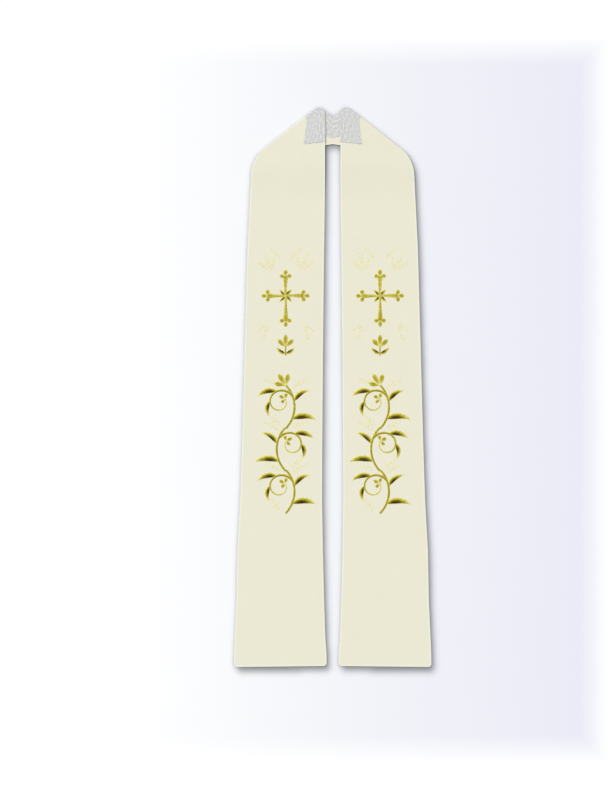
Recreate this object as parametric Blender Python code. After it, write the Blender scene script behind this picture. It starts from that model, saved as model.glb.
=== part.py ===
"""A clerical stole laid flat, face up: two fronts whose shoulders turn under, the neck band seamed
to them behind, a lace neck guard over the neck edge, and raised embroidery on each front."""

import math
from collections import namedtuple

import bmesh
import bpy
import numpy as np
from mathutils import Vector

# Driving dimensions, in metres. Heights are measured up from the hem.
LENGTH = 1.150
CLOTH = 0.0020
LACE = 0.0010
GAP = 0.0003
HEM_RISE = 0.002
HEM_TILT_ENDS = 0.050
HEM_CORNER = 0.007
HEM_CORNER_STEPS = (0.0, 0.13, 0.3, 0.6, 1.0)
HEM_THINNING = (0.5, 0.8)

# The shoulder fold slopes down from the neck, and both of its ends are rounded. It is full at the
# neck tip, where it holds the lace, and pressed flatter at the shoulder. side is its direction along
# the fold, and bend the radius that the middle of the cloth turns under at.
FoldEnd = namedtuple("FoldEnd", "centre radius side bend")
FOLD_SLOPE = math.radians(38.66)
TIP = FoldEnd((0.0288, 1.13626), 0.0130, -1, 0.0026)
SHOULDER = FoldEnd((0.0899, 1.0059), 0.0780, 1, 0.0012)

# The front climbs over the neck band between these heights.
CLIMB_START = 0.955
CLIMB_END = 1.045
CLIMB_HEIGHTS = (CLIMB_START + GAP, 0.970, 0.985, 1.000)

# The neck band at the centre back.
BACK_TOP = 1.129
BACK_BOTTOM = 1.074

# The lace neck guard on the front, and its widths over the neck edge.
LACE_BOTTOM = 1.079
LACE_BOTTOM_TILT = math.radians(6)
LACE_EDGE_LOW = 0.0590
LACE_EDGE_HIGH = 0.0540
LACE_WIDTH_BACK = 0.042
LACE_TURN_UNDER = 0.016
LACE_FULL_WIDTH_AT = 0.62

# Raised embroidery.
DESIGN_CENTRE = 0.097
STITCH_EDGE = 0.0004
STITCH_CROWN = 0.0007
CROWN_WIDTH = 0.003
STITCH_TOP_SHARE = 0.85
THINNEST_STITCH = 0.0003
CROSS_HEIGHT = 0.763
SPRIG_HEIGHT = 0.640
SCROLL_START = 0.316
SCROLL_CELL = 0.087

END_POINTS = 5
FOLD_STEPS = 14
TIP_STEPS = 6
BACK_STEPS = 6

Outline = namedtuple("Outline", "height inner outer")
OUTLINE = (
    Outline(0.000, 0.0120, 0.2030),
    Outline(0.034, 0.0130, 0.2024),
    Outline(0.060, 0.0150, 0.2012),
    Outline(0.137, 0.0175, 0.1977),
    Outline(0.240, 0.0200, 0.1958),
    Outline(0.342, 0.0216, 0.1900),
    Outline(0.445, 0.0213, 0.1866),
    Outline(0.650, 0.0198, 0.1810),
    Outline(0.856, 0.0175, 0.1753),
    Outline(1.000, 0.0156, 0.1682),
    Outline(1.135, 0.0158, 0.1679),
)

# The rings below the neck tip: the height of the inner end, and how far the outer end is
# round the shoulder's corner.
NeckRing = namedtuple("NeckRing", "height shoulder_share")
NECK_RINGS = (
    NeckRing(1.015, 0.18),
    NeckRing(1.030, 0.36),
    NeckRing(1.045, 0.54),
    NeckRing(1.054, 0.65),
    NeckRing(1.063, 0.76),
    NeckRing(1.071, 0.86),
    NeckRing(LACE_BOTTOM, 0.94),
    NeckRing(1.095, 0.95),
    NeckRing(1.115, 0.96),
    NeckRing(TIP.centre[1], 0.97),
)

# A ring of cloth runs from the neck-side edge, inner, to the outer edge.
Ring = namedtuple("Ring", "inner outer normal")

# A stitched stroke: where it starts, its heading and turn in degrees, its length and half width.
Stroke = namedtuple("Stroke", "x y heading length turn tighten width shape stations")

CLOTH_COLOUR = (0.831, 0.815, 0.658, 1.0)
LACE_COLOUR = (0.672, 0.672, 0.672, 1.0)
GOLD_COLOUR = (0.514, 0.440, 0.058, 1.0)

FOLD_ALONG = Vector((math.cos(FOLD_SLOPE), -math.sin(FOLD_SLOPE), 0))
FOLD_ACROSS = Vector((math.sin(FOLD_SLOPE), math.cos(FOLD_SLOPE), 0))
UP = Vector((0, 0, 1))
BACK_LEVEL = LACE + GAP + CLOTH / 2
INNER_LEVEL = BACK_LEVEL + 2 * TIP.bend
OUTER_LEVEL = BACK_LEVEL + 2 * SHOULDER.bend


def clear_scene():
    for item in list(bpy.data.objects):
        bpy.data.objects.remove(item)


def material(name, colour, roughness, metallic=0.0):
    made = bpy.data.materials.new(name)
    made.use_nodes = True
    shader = made.node_tree.nodes["Principled BSDF"]
    shader.inputs["Base Color"].default_value = colour
    shader.inputs["Roughness"].default_value = roughness
    shader.inputs["Metallic"].default_value = metallic
    return made


def smoothstep(value):
    value = min(1.0, max(0.0, value))
    return value * value * (3 - 2 * value)


def edge_at(height):
    """The inner and outer offsets of a front from the middle line, at a height above the hem."""
    heights = [row.height for row in OUTLINE]
    inner = float(np.interp(height, heights, [row.inner for row in OUTLINE]))
    outer = float(np.interp(height, heights, [row.outer for row in OUTLINE]))
    return inner, outer


def level_ring(inner_x, inner_y, outer_x, outer_y, height):
    """A ring that lies level, or that has climbed over the neck band as far as at this height."""
    climb = smoothstep((height - CLIMB_START) / (CLIMB_END - CLIMB_START))
    inner_level = CLOTH / 2 + (INNER_LEVEL - CLOTH / 2) * climb
    outer_level = CLOTH / 2 + (OUTER_LEVEL - CLOTH / 2) * climb
    return Ring(Vector((inner_x, inner_y, inner_level)), Vector((outer_x, outer_y, outer_level)), UP)


def on_rounding(end, angle):
    """The x and y of a point on a rounded end of the fold."""
    x = end.centre[0] + end.radius * math.cos(angle)
    y = end.centre[1] + end.radius * math.sin(angle)
    return x, y


def fold_ring(turn):
    """The ring at one angle of the shoulder fold: 0 on the front, pi on the band."""
    points = []
    for end in (TIP, SHOULDER):
        inset = end.bend + CLOTH / 2
        level = BACK_LEVEL + end.bend * (1 + math.cos(turn))
        foot = Vector((*end.centre, level)) + FOLD_ACROSS * (end.radius - inset)
        across = end.radius - inset + inset * math.sin(turn)
        reach = math.sqrt(max(0.0, end.radius**2 - across**2))
        lift = FOLD_ACROSS * (end.bend * math.sin(turn))
        points.append(foot + lift + FOLD_ALONG * (end.side * reach))
    normal = FOLD_ACROSS * math.sin(turn) + UP * math.cos(turn)
    return Ring(points[0], points[1], normal)


def hem_rings():
    """The rounded lower corners of a front."""
    rings = []
    for step in HEM_CORNER_STEPS:
        height = HEM_CORNER * step
        inner, outer = edge_at(height)
        inset = HEM_CORNER * (1 - math.sqrt(1 - (1 - step) ** 2))
        rings.append(level_ring(inner + inset, height + HEM_RISE, outer - inset, height, height))
    return rings


def straight_rings(heights):
    """The rings of a front at these heights, between the hem corners and the shoulder's curve."""
    rings = []
    for height in heights:
        inner, outer = edge_at(height)
        rise = HEM_RISE * max(0.0, 1 - height / HEM_TILT_ENDS)
        rings.append(level_ring(inner, height + rise, outer, height, height))
    return rings


def shoulder_point(share):
    """A point of the outer edge, from the last straight ring (0) to the end of the fold (1)."""
    start = OUTLINE[-2]
    straight = SHOULDER.centre[1] - start.height
    last = fold_ring(0).outer
    end_angle = math.atan2(last.y - SHOULDER.centre[1], last.x - SHOULDER.centre[0])
    along = share * (straight + SHOULDER.radius * end_angle)
    if along < straight:
        return start.outer, start.height + along
    return on_rounding(SHOULDER, (along - straight) / SHOULDER.radius)


def neck_rings():
    """The rings that turn from level to the slope of the fold, round the neck tip."""
    rings = []
    for height, share in NECK_RINGS:
        rings.append(level_ring(edge_at(height)[0], height, *shoulder_point(share), height))
    last = fold_ring(0).inner
    end_angle = math.atan2(last.y - TIP.centre[1], last.x - TIP.centre[0])
    for step in range(1, TIP_STEPS):
        share = step / TIP_STEPS
        angle = math.pi + (end_angle - math.pi) * share
        low = NECK_RINGS[-1].shoulder_share
        outer = shoulder_point(low + (1 - low) * share)
        rings.append(level_ring(*on_rounding(TIP, angle), *outer, CLIMB_END))
    return rings


def back_rings():
    """The rings of one half of the neck band, from its seam behind the fold to the centre back."""
    fold = fold_ring(math.pi)
    seam = FOLD_ACROSS * -GAP
    top = Vector((0, BACK_TOP, BACK_LEVEL))
    bottom = Vector((0, BACK_BOTTOM, BACK_LEVEL))
    rings = []
    for step in range(BACK_STEPS + 1):
        share = step / BACK_STEPS
        inner_end = (fold.inner + seam).lerp(top, share)
        rings.append(Ring(inner_end, (fold.outer + seam).lerp(bottom, share), -UP))
    return rings


def fold_rings():
    return [fold_ring(math.pi * step / FOLD_STEPS) for step in range(FOLD_STEPS + 1)]


def panel_rings():
    """The long panel of a front, which lies flat."""
    heights = [row.height for row in OUTLINE if 0 < row.height < CLIMB_START]
    return hem_rings() + straight_rings(heights + [CLIMB_START])


def shoulder_rings():
    """The shoulder of a front, which climbs over the neck band and turns under at the fold."""
    return straight_rings(CLIMB_HEIGHTS) + neck_rings() + fold_rings()


def mirrored(ring):
    flip = Vector((-1, 1, 1))
    return Ring(ring.inner * flip, ring.outer * flip, ring.normal * flip)


def place(ring, section):
    """The section's points, given as distances along and off the ring, in the part's frame."""
    along = (ring.outer - ring.inner).normalized()
    return [ring.inner + along * across + ring.normal * off for across, off in section]


def cloth_section(ring, share=1.0):
    """A thin strip with round edges. share thins it at the hem."""
    half = CLOTH / 2 * share
    width = (ring.outer - ring.inner).length
    points = []
    for centre, start in ((half, math.pi / 2), (width - half, 1.5 * math.pi)):
        for step in range(END_POINTS):
            angle = start + math.pi * step / (END_POINTS - 1)
            points.append((centre + half * math.cos(angle), half * math.sin(angle)))
    return points


def lace_section(face_width, inside_width):
    """A strip folded over the neck edge, with one leg on each face of the cloth."""
    centre = CLOTH / 2
    near = CLOTH / 2 + GAP
    far = near + LACE
    angles = [math.pi / 2 + math.pi * step / (END_POINTS - 1) for step in range(END_POINTS)]
    outside = [(centre + far * math.cos(a), far * math.sin(a)) for a in angles]
    inside = [(centre + near * math.cos(a), near * math.sin(a)) for a in reversed(angles)]
    return (
        [(face_width, far)]
        + outside
        + [(inside_width, -far), (inside_width, -near)]
        + inside
        + [(face_width, near)]
    )


def loft(name, sections, finish):
    """A closed solid through the sections, which all have the same number of points."""
    shape = bmesh.new()
    loops = []
    for section in sections:
        loops.append([shape.verts.new((p.x, p.y - LENGTH / 2, p.z)) for p in section])
    count = len(loops[0])
    for near, far in zip(loops, loops[1:]):
        for i in range(count):
            j = (i + 1) % count
            shape.faces.new((near[i], near[j], far[j], far[i]))
    shape.faces.new(reversed(loops[0]))
    shape.faces.new(loops[-1])
    bmesh.ops.recalc_face_normals(shape, faces=shape.faces)
    mesh = bpy.data.meshes.new(name)
    shape.to_mesh(mesh)
    shape.free()
    mesh.shade_smooth()
    mesh.set_sharp_from_angle(angle=math.radians(50))
    mesh.materials.append(finish)
    made = bpy.data.objects.new(name, mesh)
    bpy.context.scene.collection.objects.link(made)
    return made


def make_fronts(finish):
    """Each front is one strip of cloth, parted where it starts to climb over the neck band."""
    for name, rings, thinning in (
        ("front", panel_rings(), HEM_THINNING),
        ("shoulder", shoulder_rings(), ()),
    ):
        shares = list(thinning) + [1.0] * (len(rings) - len(thinning))
        for hand, side in (("right", rings), ("left", [mirrored(ring) for ring in rings])):
            sections = [place(ring, cloth_section(ring, share)) for ring, share in zip(side, shares)]
            loft(f"{hand}_{name}", sections, finish)


def make_neck_band(finish):
    """The band behind the neck, under the fronts, seamed to each of them behind its fold."""
    right = back_rings()
    left = [mirrored(ring) for ring in reversed(right[:-1])]
    loft("neck_band", [place(ring, cloth_section(ring)) for ring in right + left], finish)


def lace_on_front(ring):
    """The widths of the lace's two legs on a ring of the front."""
    along = (ring.outer - ring.inner).normalized()
    height_share = (ring.inner.y - LACE_BOTTOM) / (TIP.centre[1] - LACE_BOTTOM)
    edge = LACE_EDGE_LOW + (LACE_EDGE_HIGH - LACE_EDGE_LOW) * min(1.0, height_share)
    return (edge - ring.inner.x) / along.x, LACE_TURN_UNDER


def lace_sections():
    """The lace's sections from the bottom of one front, round its fold, to the centre back."""
    rings = [ring for ring in neck_rings() if ring.inner.y >= LACE_BOTTOM]
    fall = (rings[0].outer - rings[0].inner).normalized().z
    tilted = Vector((math.cos(LACE_BOTTOM_TILT), -math.sin(LACE_BOTTOM_TILT), fall))
    rings[0] = Ring(rings[0].inner, rings[0].inner + tilted, UP)
    sections = []
    for ring in rings:
        sections.append(place(ring, lace_section(*lace_on_front(ring))))
    folds = fold_rings()
    face_start, inside_start = lace_on_front(folds[0])
    for ring in folds:
        drawn_back = (ring.inner - folds[0].inner).dot(FOLD_ALONG)
        widths = (face_start - drawn_back, inside_start - drawn_back)
        sections.append(place(ring, lace_section(*widths)))
    for step, ring in enumerate(back_rings()[1:], 1):
        share = smoothstep(step / BACK_STEPS / LACE_FULL_WIDTH_AT)
        face = face_start + (LACE_WIDTH_BACK - face_start) * share
        inside = inside_start + (LACE_WIDTH_BACK - inside_start) * share
        sections.append(place(ring, lace_section(face, inside)))
    return sections


def make_lace(finish):
    """The neck guard: one strip over the neck edge, from one front round the neck to the other."""
    right = lace_sections()
    flip = Vector((-1, 1, 1))
    left = [[point * flip for point in section] for section in reversed(right[:-1])]
    loft("neck_lace", right + left, finish)


def spine(stroke):
    """The points and headings along a stroke, whose curve may tighten towards its end."""
    x, y = stroke.x, stroke.y
    fine = 8
    steps = stroke.stations * fine
    points = []
    for i in range(steps + 1):
        share = i / steps
        bend = share + stroke.tighten * (share * share - share)
        heading = math.radians(stroke.heading + stroke.turn * bend)
        if i % fine == 0:
            points.append((x, y, heading, share))
        x += math.cos(heading) * stroke.length / steps
        y += math.sin(heading) * stroke.length / steps
    return points


def half_width(stroke, share):
    """Half the width of a stroke at a share of its length."""
    shapes = {
        "even": 1.0,
        "curl": 1 - 0.6 * share,
        "arm": 0.40 + 0.60 * share**2.2,
        "leaf": math.sin(math.pi * share**0.75) ** 0.85 if 0 < share < 1 else 0,
        "petal": math.sin(math.pi * share**1.5) ** 0.7 if 0 < share < 1 else 0,
    }
    return max(THINNEST_STITCH, stroke.width * shapes[stroke.shape])


def stroke_sections(stroke):
    """Cross-sections of a raised stroke: flat below and crowned above, in the design's frame."""
    floor = CLOTH + GAP
    sections = []
    for x, y, heading, share in spine(stroke):
        half = half_width(stroke, share)
        crown = STITCH_EDGE + STITCH_CROWN * min(1.0, half / CROWN_WIDTH)
        side = Vector((-math.sin(heading), math.cos(heading), 0))
        middle = Vector((x, y + LENGTH / 2, floor))
        profile = (
            (-half, 0),
            (half, 0),
            (STITCH_TOP_SHARE * half, STITCH_EDGE),
            (0, crown),
            (-STITCH_TOP_SHARE * half, STITCH_EDGE),
        )
        sections.append([middle + side * across + UP * up for across, up in profile])
    return sections


def point_on(stroke, share):
    """A point of a stroke and its heading in degrees."""
    x, y, heading, _ = min(spine(stroke), key=lambda p: abs(p[3] - share))
    return x, y, math.degrees(heading)


def trefoil(x, y, heading, size, spread, petal_width):
    """Three petals from one point."""
    petals = []
    for offset, reach in ((-spread, 0.85), (0, 1.0), (spread, 0.85)):
        petals.append(
            Stroke(x, y, heading + offset, size * reach, 0, 0, petal_width, "petal", 4)
        )
    return petals


def cross_strokes():
    """A cross with flared arms, trefoil ends and a four-point star in the middle."""
    strokes = []
    for heading, reach in ((90, 0.041), (270, 0.052), (0, 0.037), (180, 0.037)):
        strokes.append(Stroke(0, 0, heading, reach, 0, 0, 0.0062, "arm", 3))
        x, y, _ = point_on(strokes[-1], 1)
        strokes += trefoil(x * 0.95, y * 0.95, heading, 0.015, 78, 0.0044)
    for heading in (45, 135, 225, 315):
        strokes.append(Stroke(0, 0, heading, 0.019, 0, 0, 0.0030, "leaf", 4))
    return strokes


def sprig_strokes():
    """A small three-petal flower on a stalk with two leaves."""
    stalk = Stroke(0, 0, 90, 0.020, 0, 0, 0.0015, "even", 2)
    leaves = [
        Stroke(0, 0.004, 12, 0.024, 50, 0, 0.0036, "leaf", 6),
        Stroke(0, 0.004, 168, 0.024, -50, 0, 0.0036, "leaf", 6),
    ]
    return [stalk] + leaves + trefoil(0, 0.017, 90, 0.027, 44, 0.0046)


Leaf = namedtuple("Leaf", "host share angle length turn width")
CELL_LEAVES = (
    Leaf("stem", 0.250, -40, 0.60, -62, 0.0064),
    Leaf("stem", 0.625, -34, 0.48, -66, 0.0052),
    Leaf("curl", 0.250, -40, 0.50, 64, 0.0056),
    Leaf("curl", 0.500, -42, 0.38, 74, 0.0045),
)
STEM_TURN = 88
STEM_CHORD_SHARE = math.sin(math.radians(STEM_TURN / 2)) / math.radians(STEM_TURN / 2)


def cell_strokes(side, last):
    """One turn of the running scroll: a stem, a curl that rolls back, its leaves and a bud."""
    cell = SCROLL_CELL
    length = cell / STEM_CHORD_SHARE
    trim = GAP / length
    heading = 90 - side * STEM_TURN / 2
    stem = Stroke(0, 0, heading, length * (1 - 2 * trim), side * STEM_TURN, 0, 0.0024, "even", 8)
    x, y, along = point_on(stem, 0.75)
    curl = Stroke(
        x, y, along + side * 20, cell * 1.42, side * 355, 0.42, 0.0028, "curl", 14
    )
    hosts = {"stem": stem, "curl": curl}
    strokes = [stem, curl]
    for leaf in CELL_LEAVES:
        x, y, along = point_on(hosts[leaf.host], leaf.share)
        strokes.append(
            Stroke(
                x,
                y,
                along + side * leaf.angle,
                cell * leaf.length,
                side * leaf.turn,
                0,
                leaf.width,
                "leaf",
                6,
            )
        )
    x, y, along = point_on(curl, 1)
    strokes += trefoil(x, y, along + side * 25, cell * 0.16, 75, 0.0037)
    if last:
        x, y, along = point_on(stem, 1)
        strokes += trefoil(x, y, along - side * 10, cell * 0.34, 44, 0.0050)
    return strokes


def fuse(name, strokes, finish):
    """One closed mesh from overlapping strokes."""
    pieces = [loft(name, stroke_sections(stroke), finish) for stroke in strokes]
    others = bpy.data.collections.new(name + "_strokes")
    for piece in pieces[1:]:
        others.objects.link(piece)
    joint = pieces[0].modifiers.new("fuse", "BOOLEAN")
    joint.operation = "UNION"
    joint.operand_type = "COLLECTION"
    joint.collection = others
    graph = bpy.context.evaluated_depsgraph_get()
    mesh = bpy.data.meshes.new_from_object(pieces[0].evaluated_get(graph))
    for piece in pieces:
        bpy.data.objects.remove(piece)
    bpy.data.collections.remove(others)
    mesh.name = name
    return mesh


def make_embroidery(finish):
    """The same motifs on both fronts, on the cloth's face."""
    motifs = {
        "cross": (CROSS_HEIGHT, cross_strokes()),
        "sprig": (SPRIG_HEIGHT, sprig_strokes()),
    }
    for number, name in enumerate(("scroll_low", "scroll_middle", "scroll_top")):
        side = 1 if number % 2 == 0 else -1
        height = SCROLL_START + number * SCROLL_CELL
        motifs[name] = (height, cell_strokes(side, number == 2))
    for name, (height, strokes) in motifs.items():
        mesh = fuse(name, strokes, finish)
        for front, side in (("left", -1), ("right", 1)):
            motif = bpy.data.objects.new(f"{front}_{name}", mesh)
            motif.location = (side * DESIGN_CENTRE, height - LENGTH / 2, 0)
            bpy.context.scene.collection.objects.link(motif)


def main():
    clear_scene()
    cloth = material("ivory_cloth", CLOTH_COLOUR, 0.75)
    make_fronts(cloth)
    make_neck_band(cloth)
    make_lace(material("lace", LACE_COLOUR, 0.9))
    make_embroidery(material("gold_thread", GOLD_COLOUR, 0.38, 0.6))


main()
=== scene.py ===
"""Looks for a clerical stole laid flat: two fronts and a neck band of woven ivory cloth, a lace neck
guard, gold and cream stitching on both fronts, and the pale table that it lies on."""

import math
from collections import namedtuple

import bpy
import numpy as np
from bpy.props import FloatProperty, FloatVectorProperty, IntProperty, PointerProperty
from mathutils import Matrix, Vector


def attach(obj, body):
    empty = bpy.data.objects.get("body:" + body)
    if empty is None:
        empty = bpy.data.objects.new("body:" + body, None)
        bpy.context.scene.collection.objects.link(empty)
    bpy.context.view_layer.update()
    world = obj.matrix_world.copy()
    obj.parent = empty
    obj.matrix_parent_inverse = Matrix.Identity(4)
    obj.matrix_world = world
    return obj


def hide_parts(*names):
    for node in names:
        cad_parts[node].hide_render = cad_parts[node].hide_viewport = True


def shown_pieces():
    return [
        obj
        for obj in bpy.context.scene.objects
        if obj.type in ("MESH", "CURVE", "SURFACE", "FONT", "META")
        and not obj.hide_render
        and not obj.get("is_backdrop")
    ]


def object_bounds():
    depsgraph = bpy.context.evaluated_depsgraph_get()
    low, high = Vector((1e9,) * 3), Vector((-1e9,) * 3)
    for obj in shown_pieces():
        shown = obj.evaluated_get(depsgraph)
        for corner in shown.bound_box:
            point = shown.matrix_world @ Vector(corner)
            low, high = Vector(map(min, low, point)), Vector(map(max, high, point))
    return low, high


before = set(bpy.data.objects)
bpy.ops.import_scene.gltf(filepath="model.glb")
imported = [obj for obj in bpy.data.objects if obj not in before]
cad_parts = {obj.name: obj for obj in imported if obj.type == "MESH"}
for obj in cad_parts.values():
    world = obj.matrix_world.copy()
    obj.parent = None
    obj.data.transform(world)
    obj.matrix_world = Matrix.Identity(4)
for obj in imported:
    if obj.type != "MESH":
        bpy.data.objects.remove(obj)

bl_info = {
    "name": "Clerical Stole",
    "version": (1, 0, 0),
    "blender": (4, 5, 0),
    "location": "3D View > Sidebar > Stole",
    "description": "Makes the stole's cloth, lace and stitching, and the table it lies on",
    "category": "Add Mesh",
}

BODY = "root"
CLOTH_SLOT = "ivory_cloth"
LACE_SLOT = "lace"
GOLD_SLOT = "gold_thread"
HANDS = (("left", -1), ("right", 1))

# The stole's sizes, in metres. Heights are measured up from the hem.
LENGTH = 1.150
CLOTH = 0.0020
LACE = 0.0010
GAP = 0.0003
HEM_RISE = 0.002
HEM_TILT_ENDS = 0.050
HEM_CORNER = 0.007
FOLD_SLOPE = math.radians(38.66)
CLIMB_START = 0.955
CLIMB_END = 1.045
BACK_TOP = 1.129
BACK_BOTTOM = 1.074
LACE_BOTTOM = 1.079
LACE_BOTTOM_TILT = math.radians(6)
LACE_EDGE_LOW = 0.0590
LACE_EDGE_HIGH = 0.0540
LACE_WIDTH_BACK = 0.042
LACE_TURN_UNDER = 0.016
LACE_FULL_WIDTH_AT = 0.62
STRAIGHT_END = 1.000

# The rounded ends of the shoulder fold. side is the direction along the fold, and bend the radius
# that the middle of the cloth turns under at.
FoldEnd = namedtuple("FoldEnd", "centre radius side bend")
TIP = FoldEnd((0.0288, 1.13626), 0.0130, -1, 0.0026)
SHOULDER = FoldEnd((0.0899, 1.0059), 0.0780, 1, 0.0012)

Outline = namedtuple("Outline", "height inner outer")
OUTLINE = (
    Outline(0.000, 0.0120, 0.2030),
    Outline(0.034, 0.0130, 0.2024),
    Outline(0.060, 0.0150, 0.2012),
    Outline(0.137, 0.0175, 0.1977),
    Outline(0.240, 0.0200, 0.1958),
    Outline(0.342, 0.0216, 0.1900),
    Outline(0.445, 0.0213, 0.1866),
    Outline(0.650, 0.0198, 0.1810),
    Outline(0.856, 0.0175, 0.1753),
    Outline(1.000, 0.0156, 0.1682),
    Outline(1.135, 0.0158, 0.1679),
)

# How far the outer end of a ring is round the shoulder's corner, by the height of its inner end.
ShoulderTurn = namedtuple("ShoulderTurn", "height share")
SHOULDER_TURNS = (
    ShoulderTurn(1.000, 0.00),
    ShoulderTurn(1.015, 0.18),
    ShoulderTurn(1.030, 0.36),
    ShoulderTurn(1.045, 0.54),
    ShoulderTurn(1.054, 0.65),
    ShoulderTurn(1.063, 0.76),
    ShoulderTurn(1.071, 0.86),
    ShoulderTurn(1.079, 0.94),
    ShoulderTurn(1.095, 0.95),
    ShoulderTurn(1.115, 0.96),
    ShoulderTurn(TIP.centre[1], 0.97),
)

FOLD_ALONG = Vector((math.cos(FOLD_SLOPE), -math.sin(FOLD_SLOPE), 0))
FOLD_ACROSS = Vector((math.sin(FOLD_SLOPE), math.cos(FOLD_SLOPE), 0))
UP = Vector((0, 0, 1))
BACK_LEVEL = LACE + GAP + CLOTH / 2
INNER_LEVEL = BACK_LEVEL + 2 * TIP.bend
OUTER_LEVEL = BACK_LEVEL + 2 * SHOULDER.bend

SCENE_GROUPS = ("stole_cloth", "stole_lace", "stole_stitching", "stole_stage")


# Settings


def size_property(name, description, default):
    """A size in metres that a user may change."""
    return FloatProperty(name=name, description=description, default=default, unit="LENGTH")


def colour_property(name, description, default):
    """A colour that a user may change."""
    return FloatVectorProperty(
        name=name, description=description, default=default, subtype="COLOR", min=0.0, max=1.0
    )


class StoleClothSettings(bpy.types.PropertyGroup):
    """The woven cloth of the fronts and the neck band"""

    weave_pitch: size_property(
        "Weave Pitch", "Distance from one thread of the weave to the next", 0.00055
    )
    turned_edge: size_property(
        "Turned Edge", "Width of the turned-in edge, which is at the cloth's full thickness", 0.0032
    )
    edge_rise: size_property(
        "Edge Rise", "How far the turned edge stands above the middle of the cloth", 0.00015
    )
    ripple: size_property(
        "Ripple", "Height of the soft unevenness left in a pressed cloth", 0.00018
    )
    row_step: size_property(
        "Row Step", "Distance between the rows of points along a front", 0.004
    )
    thin_colour: colour_property(
        "Thin Colour", "Colour of the cloth where its threads are thin", (0.782, 0.760, 0.598)
    )
    thick_colour: colour_property(
        "Thick Colour", "Colour of the cloth where its threads are thick", (0.838, 0.820, 0.663)
    )
    # The turned edge is lighter, partly for the thicker cloth there and partly as a painted highlight.
    edge_and_highlight_colour: colour_property(
        "Edge Colour", "Colour of the turned-in edge", (0.890, 0.888, 0.752)
    )


class StoleLaceSettings(bpy.types.PropertyGroup):
    """The lace guard folded over the neck edge"""

    rib_pitch: size_property("Rib Pitch", "Distance from one rib of the lace to the next", 0.0030)
    relief: size_property(
        "Relief", "Height of the ribs and knots above the ground of the lace", 0.0006
    )
    picot: size_property("Picot", "Depth of the small loops along the lace's edges", 0.0013)
    bulge: size_property(
        "Bulge", "How far the lace stands off the neck edge where it is loosest", 0.0014
    )
    # The lace's colours follow the height of its relief: painted shade low down in the openings and the
    # ground, a painted highlight on the knots.
    opening_painted_shade_colour: colour_property(
        "Opening Colour", "Colour down in the lace's small openings", (0.420, 0.415, 0.395)
    )
    ground_painted_shade_colour: colour_property(
        "Ground Colour", "Colour of the ground between the ribs", (0.650, 0.650, 0.645)
    )
    rib_colour: colour_property("Rib Colour", "Colour of the ribs", (0.835, 0.837, 0.842))
    knot_painted_highlight_colour: colour_property(
        "Knot Colour", "Colour of the tops of the knots", (0.960, 0.960, 0.968)
    )


class StoleStitchingSettings(bpy.types.PropertyGroup):
    """The gold and cream stitching"""

    thread: size_property("Thread", "Width of one stitch", 0.00048)
    thread_rise: size_property(
        "Thread Rise", "How far the round of a stitch stands above the groove beside it", 0.00012
    )
    seed: IntProperty(
        name="Seed", description="Sets the small unevenness from stitch to stitch", default=11
    )
    gold_deepest: colour_property(
        "Gold, Deepest", "Gold thread at the root of a leaf", (0.030, 0.020, 0.002)
    )
    gold_deep: colour_property(
        "Gold, Deep", "Gold thread in the shade of a leaf", (0.085, 0.062, 0.002)
    )
    gold_dark: colour_property(
        "Gold, Dark", "Gold thread beside the shade of a leaf", (0.240, 0.194, 0.005)
    )
    gold_plain: colour_property(
        "Gold, Plain", "Gold thread in the middle of a stroke", (0.420, 0.356, 0.013)
    )
    gold_light: colour_property(
        "Gold, Light", "Gold thread near the edge of a stroke", (0.655, 0.580, 0.092)
    )
    gold_lightest: colour_property(
        "Gold, Lightest", "Gold thread where it catches the light", (0.950, 0.890, 0.400)
    )
    cream_dark: colour_property(
        "Cream, Dark", "Cream thread in its grooves", (0.810, 0.755, 0.440)
    )
    cream_light: colour_property(
        "Cream, Light", "Cream thread where it catches the light", (0.930, 0.890, 0.610)
    )


class StoleStageSettings(bpy.types.PropertyGroup):
    """The table, the lights and the camera"""

    camera_height: size_property("Camera Height", "Height of the camera above the table", 6.0)
    frame_height: size_property(
        "Frame Height", "How much of the table the picture takes in from top to bottom", 1.644
    )
    fill: FloatProperty(
        name="Fill", description="Strength of the even light from all round", default=0.36
    )
    table_light: FloatProperty(
        name="Table Light", description="All the light on the table, where the stole has 1", default=1.09
    )
    table_colour: colour_property(
        "Table Colour", "Colour of the table outside its tinted middle", (0.930, 0.930, 0.930)
    )
    tint_left: colour_property(
        "Tint, Left", "Colour of the table to the left of the stole", (0.915, 0.917, 0.925)
    )
    tint_middle: colour_property(
        "Tint, Middle", "Colour of the table under the stole", (0.840, 0.848, 0.880)
    )
    tint_right: colour_property(
        "Tint, Right", "Colour of the table to the right of the stole", (0.770, 0.775, 0.850)
    )
    tint_far_right: colour_property(
        "Tint, Far Right", "Colour of the table at the tint's right end", (0.740, 0.752, 0.845)
    )


# The rings that the cloth and the lace are laid on


# A ring runs from the neck-side edge, inner, to the outer edge. flat_inner and flat_outer are where
# those ends are on the cloth before it is folded.
Ring = namedtuple("Ring", "inner outer normal flat_inner flat_outer")


def smoothstep(value):
    value = min(1.0, max(0.0, value))
    return value * value * (3 - 2 * value)


def edge_at(height):
    """The inner and outer offsets of a front from the middle line, at a height above the hem."""
    heights = [row.height for row in OUTLINE]
    inner = float(np.interp(height, heights, [row.inner for row in OUTLINE]))
    outer = float(np.interp(height, heights, [row.outer for row in OUTLINE]))
    return inner, outer


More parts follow.
